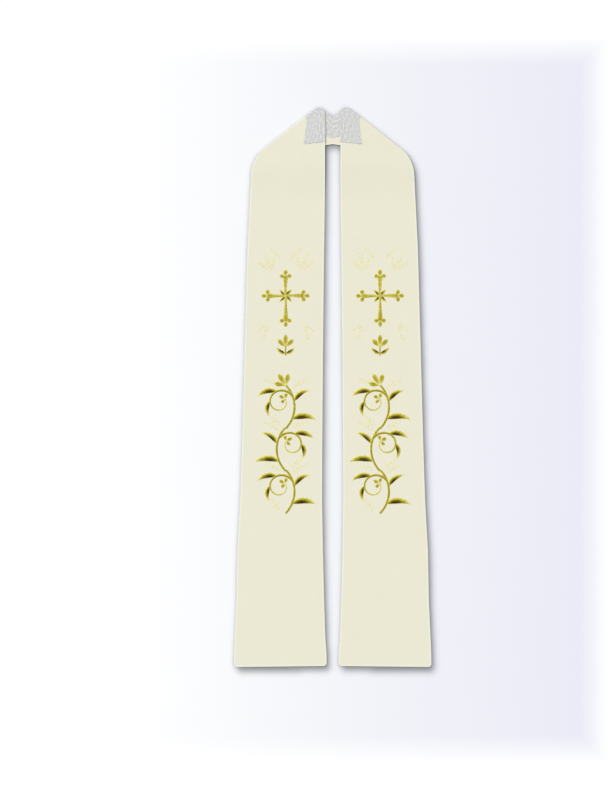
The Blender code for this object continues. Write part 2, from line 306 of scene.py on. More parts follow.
def level_ring(inner_x, inner_y, outer_x, outer_y, height):
    """A ring that lies level, or that has climbed over the neck band as far as at this height."""
    climb = smoothstep((height - CLIMB_START) / (CLIMB_END - CLIMB_START))
    inner = Vector((inner_x, inner_y, CLOTH / 2 + (INNER_LEVEL - CLOTH / 2) * climb))
    outer = Vector((outer_x, outer_y, CLOTH / 2 + (OUTER_LEVEL - CLOTH / 2) * climb))
    return Ring(inner, outer, UP, inner, outer)


def on_rounding(end, angle):
    """The x and y of a point on a rounded end of the fold."""
    x = end.centre[0] + end.radius * math.cos(angle)
    y = end.centre[1] + end.radius * math.sin(angle)
    return x, y


def fold_ring(turn):
    """The ring at one angle of the shoulder fold: 0 on the front, pi on the band."""
    points = []
    flat = []
    for end in (TIP, SHOULDER):
        inset = end.bend + CLOTH / 2
        level = BACK_LEVEL + end.bend * (1 + math.cos(turn))
        foot = Vector((*end.centre, level)) + FOLD_ACROSS * (end.radius - inset)
        across = end.radius - inset + inset * math.sin(turn)
        reach = math.sqrt(max(0.0, end.radius**2 - across**2))
        start = foot + FOLD_ALONG * (end.side * reach)
        points.append(start + FOLD_ACROSS * (end.bend * math.sin(turn)))
        flat.append(start + FOLD_ACROSS * (end.bend * turn))
    normal = FOLD_ACROSS * math.sin(turn) + UP * math.cos(turn)
    return Ring(points[0], points[1], normal, flat[0], flat[1])


def hem_rings(steps):
    """The rounded lower corners of a front."""
    rings = []
    for step in range(steps):
        angle = math.pi / 2 * step / steps
        height = HEM_CORNER * (1 - math.cos(angle))
        inset = HEM_CORNER * (1 - math.sin(angle))
        inner, outer = edge_at(height)
        rings.append(level_ring(inner + inset, height + HEM_RISE, outer - inset, height, height))
    return rings


def straight_rings(step):
    """The rings of a front from its hem corners to the shoulder's first point."""
    rings = []
    count = round((STRAIGHT_END - HEM_CORNER) / step)
    for height in np.linspace(HEM_CORNER, STRAIGHT_END, count, endpoint=False):
        inner, outer = edge_at(height)
        rise = HEM_RISE * max(0.0, 1 - height / HEM_TILT_ENDS)
        rings.append(level_ring(inner, height + rise, outer, height, height))
    return rings


def shoulder_point(share):
    """A point of the outer edge, from the last straight ring (0) to the end of the fold (1)."""
    straight = SHOULDER.centre[1] - STRAIGHT_END
    last = fold_ring(0).outer
    end_angle = math.atan2(last.y - SHOULDER.centre[1], last.x - SHOULDER.centre[0])
    along = share * (straight + SHOULDER.radius * end_angle)
    if along < straight:
        return edge_at(STRAIGHT_END)[1], STRAIGHT_END + along
    return on_rounding(SHOULDER, (along - straight) / SHOULDER.radius)


def neck_rings(start, step, tip_steps):
    """The rings from a height up to the neck tip, and round the tip to the slope of the fold."""
    rings = []
    heights = [turn.height for turn in SHOULDER_TURNS]
    shares = [turn.share for turn in SHOULDER_TURNS]
    count = round((heights[-1] - start) / step)
    for height in np.linspace(start, heights[-1], count + 1):
        outer = shoulder_point(float(np.interp(height, heights, shares)))
        rings.append(level_ring(edge_at(height)[0], height, *outer, height))
    last = fold_ring(0).inner
    end_angle = math.atan2(last.y - TIP.centre[1], last.x - TIP.centre[0])
    for number in range(1, tip_steps):
        share = number / tip_steps
        angle = math.pi + (end_angle - math.pi) * share
        outer = shoulder_point(shares[-1] + (1 - shares[-1]) * share)
        rings.append(level_ring(*on_rounding(TIP, angle), *outer, CLIMB_END))
    return rings


def fold_rings(steps):
    return [fold_ring(math.pi * step / steps) for step in range(steps + 1)]


def back_rings(steps):
    """The rings of one half of the neck band, from its seam behind the fold to the centre back."""
    fold = fold_ring(math.pi)
    seam = FOLD_ACROSS * -GAP
    top = Vector((0, BACK_TOP, BACK_LEVEL))
    bottom = Vector((0, BACK_BOTTOM, BACK_LEVEL))
    rings = []
    for step in range(steps + 1):
        inner = (fold.inner + seam).lerp(top, step / steps)
        outer = (fold.outer + seam).lerp(bottom, step / steps)
        rings.append(Ring(inner, outer, -UP, inner, outer))
    return rings


def mirrored(ring):
    flip = Vector((-1, 1, 1))
    return Ring(*(point * flip for point in ring))


# Meshes


def add_values(mesh, name, kind, values):
    layer = mesh.attributes.new(name, kind, "POINT")
    field = "vector" if kind == "FLOAT_VECTOR" else "value"
    layer.data.foreach_set(field, np.asarray(values, np.float32).ravel())


def finished_object(name, points, faces, material):
    """A smooth-shaded object, with its points moved so that the stole's middle is at the origin."""
    centred = np.array(points, float).reshape(-1, 3)
    centred[:, 1] -= LENGTH / 2
    mesh = bpy.data.meshes.new(name)
    mesh.from_pydata(centred.tolist(), [], faces)
    mesh.shade_smooth()
    mesh.materials.append(material)
    made = bpy.data.objects.new(name, mesh)
    bpy.context.scene.collection.objects.link(made)
    return made


def grid_faces(rows, columns, start=0):
    """The four-sided faces of a grid of points."""
    row, column = np.mgrid[0 : rows - 1, 0 : columns - 1]
    corner = start + row * columns + column
    quads = np.stack([corner, corner + 1, corner + columns + 1, corner + columns], axis=-1)
    return quads.reshape(-1, 4)


def rim_faces(loop, other):
    """The faces that join two lines of points, side by side."""
    return np.stack([loop[:-1], loop[1:], other[1:], other[:-1]], axis=-1)


def shell_faces(points, rows, columns):
    """The faces of a closed shell between two grids of points, facing out."""
    count = rows * columns
    face = grid_faces(rows, columns)
    back = grid_faces(rows, columns, count)[:, ::-1]
    index = np.arange(count).reshape(rows, columns)
    sides = [
        rim_faces(index[0] + count, index[0]),
        rim_faces(index[-1], index[-1] + count),
        rim_faces(index[:, 0], index[:, 0] + count),
        rim_faces(index[:, -1] + count, index[:, -1]),
    ]
    faces = np.concatenate([face, back] + sides)
    corners = points[faces]
    volume = 0.0
    for second, third in ((1, 2), (2, 3)):
        cross = np.cross(corners[:, second], corners[:, third])
        volume += float(np.einsum("ij,ij->", corners[:, 0], cross))
    return faces if volume > 0 else faces[:, ::-1]


def shell(name, face_grid, back_grid, material):
    rows, columns = face_grid.shape[:2]
    points = np.concatenate([face_grid.reshape(-1, 3), back_grid.reshape(-1, 3)])
    faces = shell_faces(points, rows, columns)
    return finished_object(name, points, faces.tolist(), material)


# Cloth


RIM_TURNS = np.radians((14, 38, 64, 90))
RIM_DISTANCES = (0.0015, 0.0022, 0.0030, 0.0038, 0.0048, 0.0062, 0.0085)
MIDDLE_COLUMNS = 34
THINNEST_EDGE = 0.24
NEAREST_TO_HEM = 0.00008
TURNED_EDGE_SLOPE = 0.0012

# Ripples of pressed cloth: how strong each is, and its radians to the metre across and up. They fade
# out above RIPPLE_TOP, and start a little way in from the edges.
Ripple = namedtuple("Ripple", "strength across up shift")
RIPPLES = (
    Ripple(1.0, 31, 11, 0.4),
    Ripple(1.0, -19, 23, 1.9),
    Ripple(0.6, 57, -41, 2.6),
    Ripple(0.5, 13, 79, 0.9),
)
RIPPLE_REST = 0.4
RIPPLE_TOP = 0.88
RIPPLE_FADE = 0.06
RIPPLE_FROM_EDGE = 0.004
RIPPLE_FULL_IN = 0.020


def columns_across(width):
    """Distances of a ring's columns from its inner edge, close together at both edges."""
    round_edge = CLOTH / 2 * (1 - np.cos(RIM_TURNS))
    rim = np.concatenate([round_edge, RIM_DISTANCES])
    middle = np.linspace(rim[-1], width - rim[-1], MIDDLE_COLUMNS + 2)[1:-1]
    return np.concatenate([rim, middle, width - rim[::-1]])


def round_over(distance):
    """The half thickness of the cloth near an edge, as a share of its full one."""
    share = np.clip(distance / (CLOTH / 2), 0.0, 1.0)
    return np.sqrt(1 - (1 - share) ** 2)


def ripple_at(x, y):
    """Soft unevenness of pressed cloth, from 0 to 1."""
    waves = sum(row.strength * np.sin(row.across * x + row.up * y + row.shift) for row in RIPPLES)
    return 0.5 + waves / sum(2 * row.strength for row in RIPPLES)


def cloth_grids(rings, settings, hem_at=None):
    """Two grids of points, for the faces of a cloth on these rings, and each point's place on the
    flat cloth and distance from the nearest edge."""
    face, back, place, edge = [], [], [], []
    for ring in rings:
        run = ring.outer - ring.inner
        flat_run = np.array((ring.flat_outer - ring.flat_inner).normalized())
        across = columns_across(run.length)
        from_edge = np.minimum(across, run.length - across)
        flat = np.array(ring.flat_inner) + across[:, None] * flat_run
        if hem_at is not None:
            from_hem = flat[:, 1] - hem_at(flat[:, 0])
            from_edge = np.minimum(from_edge, np.maximum(from_hem, NEAREST_TO_HEM))
        half = CLOTH / 2 * np.maximum(round_over(from_edge), THINNEST_EDGE)
        inside = np.clip((from_edge - settings.turned_edge) / TURNED_EDGE_SLOPE, 0.0, 1.0)
        inside = inside * inside * (3 - 2 * inside)
        fade = 1 - smoothstep((ring.inner.y - RIPPLE_TOP) / RIPPLE_FADE)
        soft = np.clip((from_edge - RIPPLE_FROM_EDGE) / RIPPLE_FULL_IN, 0.0, 1.0)
        ripple = ripple_at(flat[:, 0], flat[:, 1]) - RIPPLE_REST
        top = half - settings.edge_rise * inside + settings.ripple * fade * soft * ripple
        line = np.array(ring.inner) + across[:, None] * np.array(run.normalized())
        normal = np.array(ring.normal)
        face.append(line + normal * top[:, None])
        back.append(line - normal * half[:, None])
        place.append(flat)
        edge.append(from_edge)
    return np.array(face), np.array(back), np.array(place), np.array(edge)


def sheet_area(grid):
    """The area of a grid of points."""
    across = grid[:-1, 1:] - grid[:-1, :-1]
    down = grid[1:, :-1] - grid[:-1, :-1]
    back = grid[1:, :-1] - grid[1:, 1:]
    up = grid[:-1, 1:] - grid[1:, 1:]
    halves = np.cross(down, across), np.cross(back, up)
    return sum(float(np.linalg.norm(half, axis=2).sum()) for half in halves) / 2


def cloth_piece(name, rings, material, settings, hem_at=None):
    """A closed piece of cloth on the rings. It returns the piece and its flat area."""
    face, back, place, edge = cloth_grids(rings, settings, hem_at)
    made = shell(name, face, back, material)
    place[:, :, 2] = 0
    add_values(made.data, "cloth_place", "FLOAT_VECTOR", np.concatenate([place, place]))
    add_values(made.data, "edge_distance", "FLOAT", np.concatenate([edge, edge]))
    return made, sheet_area((face + back) / 2)


def hem_height(side):
    """The height of the hem at a place across a front."""
    inner, outer = edge_at(0)

    def height(x):
        return HEM_RISE * np.clip((outer - side * x) / (outer - inner), 0.0, 1.0)

    return height


# Lace


LACE_FACE_COLUMNS = 84
LACE_TURN_COLUMNS = 9
LACE_INSIDE_COLUMNS = 44
LACE_ROW_STEP = 0.0008
LACE_TIP_ROWS = 26
LACE_FOLD_ROWS = 16
LACE_BACK_ROWS = 30
LACE_TILTED_ROWS = 20
LACE_RAGGED_ROWS = 5
LACE_CLEARANCE = 0.00012
LACE_UNDERSIDE = CLOTH / 2 + LACE_CLEARANCE
LACE_GROUND = LACE_UNDERSIDE + 0.45 * LACE
LACE_GROUND_TONE = 0.25
LACE_THIN_EDGE = (0.35, 0.70, 0.90)
PICOT_PITCH = 0.0042
PICOT_BLUNT = 0.7
PICOT_REST = 0.3
BULGE_HEIGHT = 1.102
BULGE_REACH = 0.010
BULGE_WIDTH = 0.004

# The relief of the lace: how narrow its ribs are, how high a rib, a knot on it and the ground are as
# shares of the relief, and how far over the lace a rib's sway moves on.
RIB_NARROW = 1.3
RIB_LEVEL = 0.62
KNOT_RISE = 0.45
GROUND_LEVEL = 0.16
HIGHEST = 1.15
SWAY_SHARE = 1 / 6

# Waves along the lace: how strong, how long in metres, and how far each rib's is shifted, in radians.
Wave = namedtuple("Wave", "strength length shift")
RIB_SWAY = (Wave(0.12, 0.0383, 0.0), Wave(0.07, 0.0170, 0.0))
RIB_BEADS = (Wave(0.12, 0.0042, 7.5),)
RIB_STREAKS = (Wave(0.15, 0.0870, 2.7), Wave(0.10, 0.0310, 4.3), Wave(0.06, 0.0093, 1.7))
RIB_KNOTS = (Wave(0.55, 0.0345, 4.1), Wave(0.55, 0.0157, 1.3))
GROUND_THREADS = (Wave(0.09, 0.0026, 1.7),)
RAGGED_LOOPS = (Wave(0.45, 0.0035, 0.0), Wave(0.40, 0.0113, 0.0))


def waves_along(waves, along, rib=0):
    """The sum of these waves at a distance along the lace, on one rib or many."""
    turns = [2 * np.pi * along / wave.length + wave.shift * rib for wave in waves]
    return sum(wave.strength * np.sin(turn) for wave, turn in zip(waves, turns))


def picots(distance):
    """Small loops along an edge of the lace, about 0 to 1, uneven from loop to loop."""
    loops = np.abs(np.sin(np.pi * distance / PICOT_PITCH)) ** PICOT_BLUNT
    return loops + waves_along(RAGGED_LOOPS, distance)


def lace_widths(ring):
    """The widths of the lace's two legs on a ring of the front."""
    along = (ring.outer - ring.inner).normalized()
    share = (ring.inner.y - LACE_BOTTOM) / (TIP.centre[1] - LACE_BOTTOM)
    edge = LACE_EDGE_LOW + (LACE_EDGE_HIGH - LACE_EDGE_LOW) * min(1.0, share)
    return (edge - ring.inner.x) / along.x, LACE_TURN_UNDER


def lace_rings():
    """The rings under the lace from the bottom of the right front, by the centre back, to the bottom
    of the left one, with the widths of its face leg and its inside leg on each."""
    laid = []
    for number, ring in enumerate(neck_rings(LACE_BOTTOM, LACE_ROW_STEP, LACE_TIP_ROWS)):
        along = (ring.outer - ring.inner).normalized()
        tilted = Vector((math.cos(LACE_BOTTOM_TILT), -math.sin(LACE_BOTTOM_TILT), along.z))
        along = along.lerp(tilted, max(0.0, 1 - number / LACE_TILTED_ROWS)).normalized()
        ring = ring._replace(outer=ring.inner + along)
        laid.append((ring, *lace_widths(ring)))
    folds = fold_rings(LACE_FOLD_ROWS)
    face_start, inside_start = lace_widths(folds[0])
    for ring in folds:
        drawn_back = (ring.inner - folds[0].inner).dot(FOLD_ALONG)
        laid.append((ring, face_start - drawn_back, inside_start - drawn_back))
    for step, ring in enumerate(back_rings(LACE_BACK_ROWS)[1:], 1):
        share = smoothstep(step / LACE_BACK_ROWS / LACE_FULL_WIDTH_AT)
        face = face_start + (LACE_WIDTH_BACK - face_start) * share
        inside = inside_start + (LACE_WIDTH_BACK - inside_start) * share
        laid.append((ring, face, inside))
    left = [(mirrored(ring), face, inside) for ring, face, inside in reversed(laid[:-1])]
    return laid + left


def lace_relief(across, along, pitch):
    """Ribs and knots of the lace, from 0 in its small openings to 1 on a knot."""
    rib = across / pitch + waves_along(RIB_SWAY, along + across * SWAY_SHARE)
    nearest = np.round(rib)
    ridge = 0.5 + 0.5 * np.cos(2 * np.pi * rib)
    knot = np.clip(waves_along(RIB_KNOTS, along, nearest), 0, 1) ** 2
    thread = RIB_LEVEL + waves_along(RIB_BEADS + RIB_STREAKS, along, nearest) + KNOT_RISE * knot
    ground = GROUND_LEVEL + waves_along(GROUND_THREADS, along, nearest)
    return np.clip(ridge**RIB_NARROW * thread + (1 - ridge) * ground, 0.0, HIGHEST)


def lace_section(face_width, inside_width):
    """One line of points across the lace: the distance of each from the fold, its foot beside the
    cloth, and which way the lace faces there."""
    centre = CLOTH / 2
    up, down = math.pi / 2, 1.5 * math.pi
    face = np.linspace(face_width, centre, LACE_FACE_COLUMNS)
    turn = np.linspace(up, down, LACE_TURN_COLUMNS + 2)[1:-1]
    inside = np.linspace(centre, inside_width, LACE_INSIDE_COLUMNS)
    foot = np.concatenate([face, np.full_like(turn, centre), inside])
    facing = np.concatenate([np.full_like(face, up), turn, np.full_like(inside, down)])
    round_fold = -LACE_GROUND * (turn - up)
    past_fold = centre - inside - LACE_GROUND * math.pi
    distance = np.concatenate([face - centre, round_fold, past_fold])
    return distance, foot, np.stack([np.cos(facing), np.sin(facing)], axis=1)


def lace_grids(settings):
    """The grids of the lace's two faces, with its relief and place at each point."""
    outer_grid, inner_grid, relief, place = [], [], [], []
    thin = len(LACE_THIN_EDGE)
    travelled = 0.0
    before = None
    laid = lace_rings()
    for row, (ring, face_width, inside_width) in enumerate(laid):
        from_end = min(row, len(laid) - 1 - row)
        along = (ring.outer - ring.inner).normalized()
        middle = ring.inner + along * (face_width / 2)
        if before is not None:
            travelled += (middle - before).length
        before = middle
        ragged = settings.picot * (float(picots(travelled)) - PICOT_REST)
        distance, foot, direction = lace_section(face_width + ragged, inside_width)
        slack = settings.bulge * math.exp(-(((ring.inner.y - BULGE_HEIGHT) / BULGE_REACH) ** 2))
        foot = foot - slack * np.exp(-(foot - CLOTH / 2) / BULGE_WIDTH)
        height = lace_relief(distance, travelled, settings.rib_pitch)
        full = np.ones_like(height)
        full[:thin] = LACE_THIN_EDGE
        full[-thin:] = LACE_THIN_EDGE[::-1]
        top = LACE_GROUND + settings.relief * (height - LACE_GROUND_TONE) * full
        if from_end == 0:
            top = (top + LACE_UNDERSIDE) / 2
        drop = settings.picot * (picots(distance + travelled) - PICOT_REST)
        drop = drop * max(0.0, 1 - from_end / LACE_RAGGED_ROWS)
        for grid, level in ((outer_grid, top), (inner_grid, np.full_like(top, LACE_UNDERSIDE))):
            beside = (foot + direction[:, 0] * level)[:, None] * np.array(along)
            above = (direction[:, 1] * level)[:, None] * np.array(ring.normal)
            points = np.array(ring.inner) + beside + above
            points[:, 1] -= drop
            grid.append(points)
        relief.append(height)
        far = np.full_like(distance, travelled)
        place.append(np.stack([distance, far, np.zeros_like(far)], axis=1))
    return np.array(outer_grid), np.array(inner_grid), np.array(relief), np.array(place)


# Stitching


# Stitched work, in the design's own frame: up from its foot, on the middle line of a front.
DESIGN_CENTRE = 0.097
CROSS_HEIGHT = 0.763
SPRIG_HEIGHT = 0.640
SCROLL_START = 0.316
SCROLL_CELL = 0.087
PATH_STEPS_PER_STATION = 8

# A stroke of stitching starts at x and y with a heading in degrees, and turns as it goes, evenly or
# tighter towards its end. width is half its width. Its stations are where other strokes may start.
Stroke = namedtuple("Stroke", "x y heading length turn tighten width shape stations")

# Three petals from one point, this many degrees apart, with the side ones a little shorter. width is
# again half the width, here and in the tables below.
Flower = namedtuple("Flower", "size spread width")
SIDE_PETAL = 0.85
PETAL_STATIONS = 4

Arm = namedtuple("Arm", "heading length")
CROSS_ARMS = (Arm(90, 0.041), Arm(270, 0.052), Arm(0, 0.037), Arm(180, 0.037))
CROSS_ARM_WIDTH = 0.0062
CROSS_BUD = Flower(0.015, 78, 0.0044)
CROSS_BUD_AT = 0.95
STAR_HEADINGS = (45, 135, 225, 315)
STAR_LENGTH = 0.019
STAR_WIDTH = 0.0030

SPRIG_STROKES = (
    Stroke(0, 0, 90, 0.020, 0, 0, 0.0015, "even", 2),
    Stroke(0, 0.004, 12, 0.024, 50, 0, 0.0036, "leaf", 6),
    Stroke(0, 0.004, 168, 0.024, -50, 0, 0.0036, "leaf", 6),
)
SPRIG_FLOWER = Flower(0.027, 44, 0.0046)
SPRIG_FLOWER_AT = 0.017

# The turns of the scroll, from its foot up. The stem of each is an arc that turns this far, with its
# ends one above the other, and laps a little over the next one.
SCROLL_CELLS = ("scroll_low", "scroll_middle", "scroll_top")
STEM_TURN = 88
STEM_LAP = 0.0014
STEM_CHORD_SHARE = math.sin(math.radians(STEM_TURN / 2)) / math.radians(STEM_TURN / 2)
STEM_WIDTH = 0.0024
STEM_STATIONS = 8

# What grows on a turn of the scroll: from which stroke and at what share of it, at what angle to it,
# how long as a share of the turn's height, and how far it bends.
Growth = namedtuple("Growth", "host share angle length turn width")
CURL = Growth("stem", 0.75, 20, 1.42, 355, 0.0028)
CURL_TIGHTEN = 0.42
CURL_STATIONS = 14
CELL_LEAVES = (
    Growth("stem", 0.250, -40, 0.60, -62, 0.0064),
    Growth("stem", 0.625, -34, 0.48, -66, 0.0052),
    Growth("curl", 0.250, -40, 0.50, 64, 0.0056),
    Growth("curl", 0.500, -42, 0.38, 74, 0.0045),
)
LEAF_STATIONS = 6
CURL_BUD = Flower(0.16 * SCROLL_CELL, 75, 0.0037)
CURL_BUD_LEAN = 25
TOP_FLOWER = Flower(0.34 * SCROLL_CELL, 44, 0.0050)
TOP_FLOWER_LEAN = -10

# Pale fronds, as they lie on the right of the cross, and on a turn of the scroll that bends to the
# right: where each starts, how far it leans to the right of straight up, and how far it turns to the
# right as it grows. y is up from the hem for the cross, and from the turn's own foot for the scroll.
Frond = namedtuple("Frond", "x y lean length turn pairs")
CROSS_FRONDS = (
    Frond(0.034, 0.812, 4, 0.040, 24, 5),
    Frond(0.034, 0.812, 38, 0.031, 24, 5),
    Frond(0.034, 0.812, -30, 0.031, 24, 5),
    Frond(0.037, 0.707, 174, 0.034, -22, 4),
    Frond(0.037, 0.707, 138, 0.025, -22, 4),
    Frond(0.010, 0.836, 26, 0.032, 36, 4),
)
SCROLL_FRONDS = (
    Frond(-0.005, 0.004, -62, 0.040, 34, 5),
    Frond(0.011, 0.080, 46, 0.038, 26, 5),
    Frond(-0.009, 0.085, -52, 0.038, -26, 5),
)
FROND_TIGHTEN = 0.2
FROND_WIDTH = 0.0008
FROND_STATIONS = 10
FROND_BARE_TIP = 0.6
FROND_LEAF = 0.30
FROND_LEAF_SHRINK = 0.40
FROND_LEAF_SPREAD = 44
FROND_LEAF_TURN = 30
FROND_LEAF_WIDTH = 0.0013
FROND_LEAF_STATIONS = 4

# How the half width changes from the root of a stroke to its tip: as a taper between two shares, or
# as a bulge that starts this far round and leans to the root or the tip.
Taper = namedtuple("Taper", "root tip power")
TAPERS = {
    "even": Taper(1.0, 1.0, 1.0),
    "curl": Taper(1.0, 0.4, 1.0),
    "arm": Taper(0.4, 1.0, 2.2),
}
Bulge = namedtuple("Bulge", "start lean blunt")
BULGES = {
    "leaf": Bulge(0.0, 0.75, 0.85),
    "petal": Bulge(0.0, 1.5, 0.7),
    "feather": Bulge(0.1, 1.0, 0.7),
}

# The height of the stitching at its edges, what its crown adds, and how wide half a stroke has to be
# for its full crown. Gold and pale stitches start this far down in the cloth, and the seeds of the
# pale ones are this much further on.
STITCH_EDGE = 0.0004
STITCH_CROWN = 0.0007
CROWN_WIDTH = 0.003
THINNEST_STITCH = 0.0003
GOLD_SUNK = 0.0001
PALE_SUNK = 0.0003
PALE_SEED = 40

# The half widths along a stroke are worked out this close together, and a stitch that reaches no
# further in from either end than this is left out.
WIDTH_STEP = 0.0004
FEWEST_WIDTHS = 24
END_MARGIN = 0.00001

# The points of one stitch: its rows, as shares of its width, for the groove and then the round of
# the thread, and the number of columns along it. The pale sprays are the finest work, and have the
# fewest points.
Stitch = namedtuple("Stitch", "rows columns")
BOLD_STITCH = Stitch((0.0, 0.28, 0.72), 11)
FINE_STITCH = Stitch((0.0, 0.5), 5)

# How each kind of stroke is stitched: its stitch, the slant of its stitches, whether they meet at a
# vein, how much darker the thread is in the middle, how much darker still on the shaded side near
# its root, and how light it is at its edges.
Filling = namedtuple("Filling", "stitch slant vein core shadow rim")
FILLINGS = {
    "even": Filling(BOLD_STITCH, 0.9, False, 0.35, 0.20, 0.94),
    "curl": Filling(BOLD_STITCH, 0.9, False, 0.33, 0.50, 0.94),
    "leaf": Filling(BOLD_STITCH, 0.8, True, 0.29, 1.00, 0.94),
    "petal": Filling(BOLD_STITCH, 0.7, True, 0.35, 0.14, 0.94),
    "arm": Filling(BOLD_STITCH, 0.5, True, 0.37, 0.38, 0.94),
    "feather": Filling(FINE_STITCH, 0.9, False, 0.30, 0.00, 0.70),
}

# The section across a stroke, its uneven edge, and the groove along its vein.
EDGE_POWER = 3
ROUND_POWER = 2.6
ROUND_BLUNT = 0.55
THREAD_BLUNT = 0.4
VEIN_WIDTH = 0.13
VEIN_DEPTH = 0.34
VEIN_FULL_AT = 0.0025

# Unevenness from stitch to stitch, and from the groove to the round of a thread. The thread's
# colour is also painted darker in each groove and lighter on each round: painted shade and highlight.
EDGE_UNEVEN = 0.04
EDGE_RIDGE = 0.03
RISE_UNEVEN = 0.05
SHADE_UNEVEN = 0.06
RIDGE_PAINTED_LIGHT = 0.04

# The shade of the thread: how fast it darkens towards the middle, and where along a stroke, over
# what reach, on which side and from what half width the deep shade lies.
BELLY_POWER = 1.3
MIDDLE_POWER = 2.2
SHADOW_AT = 0.34
SHADOW_REACH = 0.40
SHADOW_MIDDLE = 0.40
SHADOW_SIDE = 0.9
SHADOW_WIDTH = 0.0040


def stroke_half_widths(stroke, share):
    """Half the width of a stroke at each share of its length."""
    inside = np.clip(share, 1e-6, 1 - 1e-6)
    if stroke.shape in TAPERS:
        taper = TAPERS[stroke.shape]
        width = taper.root + (taper.tip - taper.root) * inside**taper.power
    else:
        bulge = BULGES[stroke.shape]
        turn = bulge.start + (1 - bulge.start) * inside**bulge.lean
        width = np.sin(np.pi * turn) ** bulge.blunt
    return np.maximum(THINNEST_STITCH, stroke.width * width)


def stroke_path(stroke):
    """The distances, x, y and headings along a stroke, whose curve may tighten towards its end."""
    steps = stroke.stations * PATH_STEPS_PER_STATION
    share = np.arange(steps + 1) / steps
    bend = share + stroke.tighten * (share * share - share)
    heading = np.radians(stroke.heading + stroke.turn * bend)
    step = stroke.length / steps
    x = stroke.x + np.concatenate([[0.0], np.cumsum(np.cos(heading[:-1]) * step)])
    y = stroke.y + np.concatenate([[0.0], np.cumsum(np.sin(heading[:-1]) * step)])
    return share * stroke.length, x, y, heading


def point_on(stroke, share):
    """The station of a stroke nearest to a share of it, and its heading in degrees."""
    distance, x, y, heading = stroke_path(stroke)
    stations = np.arange(stroke.stations + 1)
    nearest = int(np.argmin(np.abs(stations / stroke.stations - share)))
    at = nearest * PATH_STEPS_PER_STATION
    return float(x[at]), float(y[at]), math.degrees(float(heading[at]))


def petals(flower, x, y, heading):
    """The three petals of a flower that grows this way from a point."""
    return [
        Stroke(x, y, heading + lean, flower.size * reach, 0, 0, flower.width, "petal", PETAL_STATIONS)
        for lean, reach in ((-flower.spread, SIDE_PETAL), (0, 1.0), (flower.spread, SIDE_PETAL))
    ]


def cross_strokes():
    """A cross with flared arms, budded ends and a four-point star in the middle."""
    strokes = []
    for arm in CROSS_ARMS:
        strokes.append(Stroke(0, 0, arm.heading, arm.length, 0, 0, CROSS_ARM_WIDTH, "arm", 3))
        x, y, _ = point_on(strokes[-1], 1)
        strokes += petals(CROSS_BUD, x * CROSS_BUD_AT, y * CROSS_BUD_AT, arm.heading)
    for heading in STAR_HEADINGS:
        strokes.append(Stroke(0, 0, heading, STAR_LENGTH, 0, 0, STAR_WIDTH, "leaf", 4))
    return strokes


def sprig_strokes():
    """A small three-petal flower on a stalk with two leaves."""
    return [*SPRIG_STROKES, *petals(SPRIG_FLOWER, 0, SPRIG_FLOWER_AT, 90)]


def grown(growth, host, side, shape, tighten, stations):
    """A stroke that grows from another, on one side of it or the other."""
    x, y, along = point_on(host, growth.share)
    heading = along + side * growth.angle
    length = SCROLL_CELL * growth.length
    return Stroke(
        x, y, heading, length, side * growth.turn, tighten, growth.width, shape, stations
    )


def cell_strokes(side, last):
    """One turn of the running scroll: a stem, a curl that rolls back, its leaves and a bud."""
    length = SCROLL_CELL / STEM_CHORD_SHARE + STEM_LAP
    heading = 90 - side * STEM_TURN / 2
    stem = Stroke(0, 0, heading, length, side * STEM_TURN, 0, STEM_WIDTH, "even", STEM_STATIONS)
    curl = grown(CURL, stem, side, "curl", CURL_TIGHTEN, CURL_STATIONS)
    hosts = {"stem": stem, "curl": curl}
    strokes = [stem, curl]
    for leaf in CELL_LEAVES:
        strokes.append(grown(leaf, hosts[leaf.host], side, "leaf", 0, LEAF_STATIONS))
    x, y, along = point_on(curl, 1)
    strokes += petals(CURL_BUD, x, y, along + side * CURL_BUD_LEAN)
    if last:
        x, y, along = point_on(stem, 1)
        strokes += petals(TOP_FLOWER, x, y, along + side * TOP_FLOWER_LEAN)
    return strokes


def frond_strokes(frond, side, foot):
    """A pale curved stalk with pairs of small leaves, on one side, above this height."""
    x, y = side * frond.x, foot + frond.y
    heading = 90 - side * frond.lean
    turn = -side * frond.turn
    stalk = Stroke(
        x, y, heading, frond.length, turn, FROND_TIGHTEN, FROND_WIDTH, "feather", FROND_STATIONS
    )
    strokes = [stalk]
    for number in range(1, frond.pairs + 1):
        share = number / (frond.pairs + FROND_BARE_TIP)
        x, y, along = point_on(stalk, share)
        leaf = Stroke(
            x, y, along, frond.length * FROND_LEAF * (1 - FROND_LEAF_SHRINK * share),
            FROND_LEAF_TURN, 0, FROND_LEAF_WIDTH, "feather", FROND_LEAF_STATIONS,
        )
        for hand in (-1, 1):
            heading = along + hand * FROND_LEAF_SPREAD
            strokes.append(leaf._replace(heading=heading, turn=-hand * leaf.turn))
    return strokes


def turn_side(number):
    """Which way a turn of the scroll bends: right, left, right."""
    return 1 if number % 2 == 0 else -1


def spray_strokes():
    """The pale sprays: fronds over and under the cross, and beside the running scroll."""
    strokes = []
    for side in (-1, 1):
        for frond in CROSS_FRONDS:
            strokes += frond_strokes(frond, side, 0)
    for number in range(len(SCROLL_CELLS)):
        for frond in SCROLL_FRONDS:
            strokes += frond_strokes(frond, turn_side(number), SCROLL_START + number * SCROLL_CELL)
    return strokes


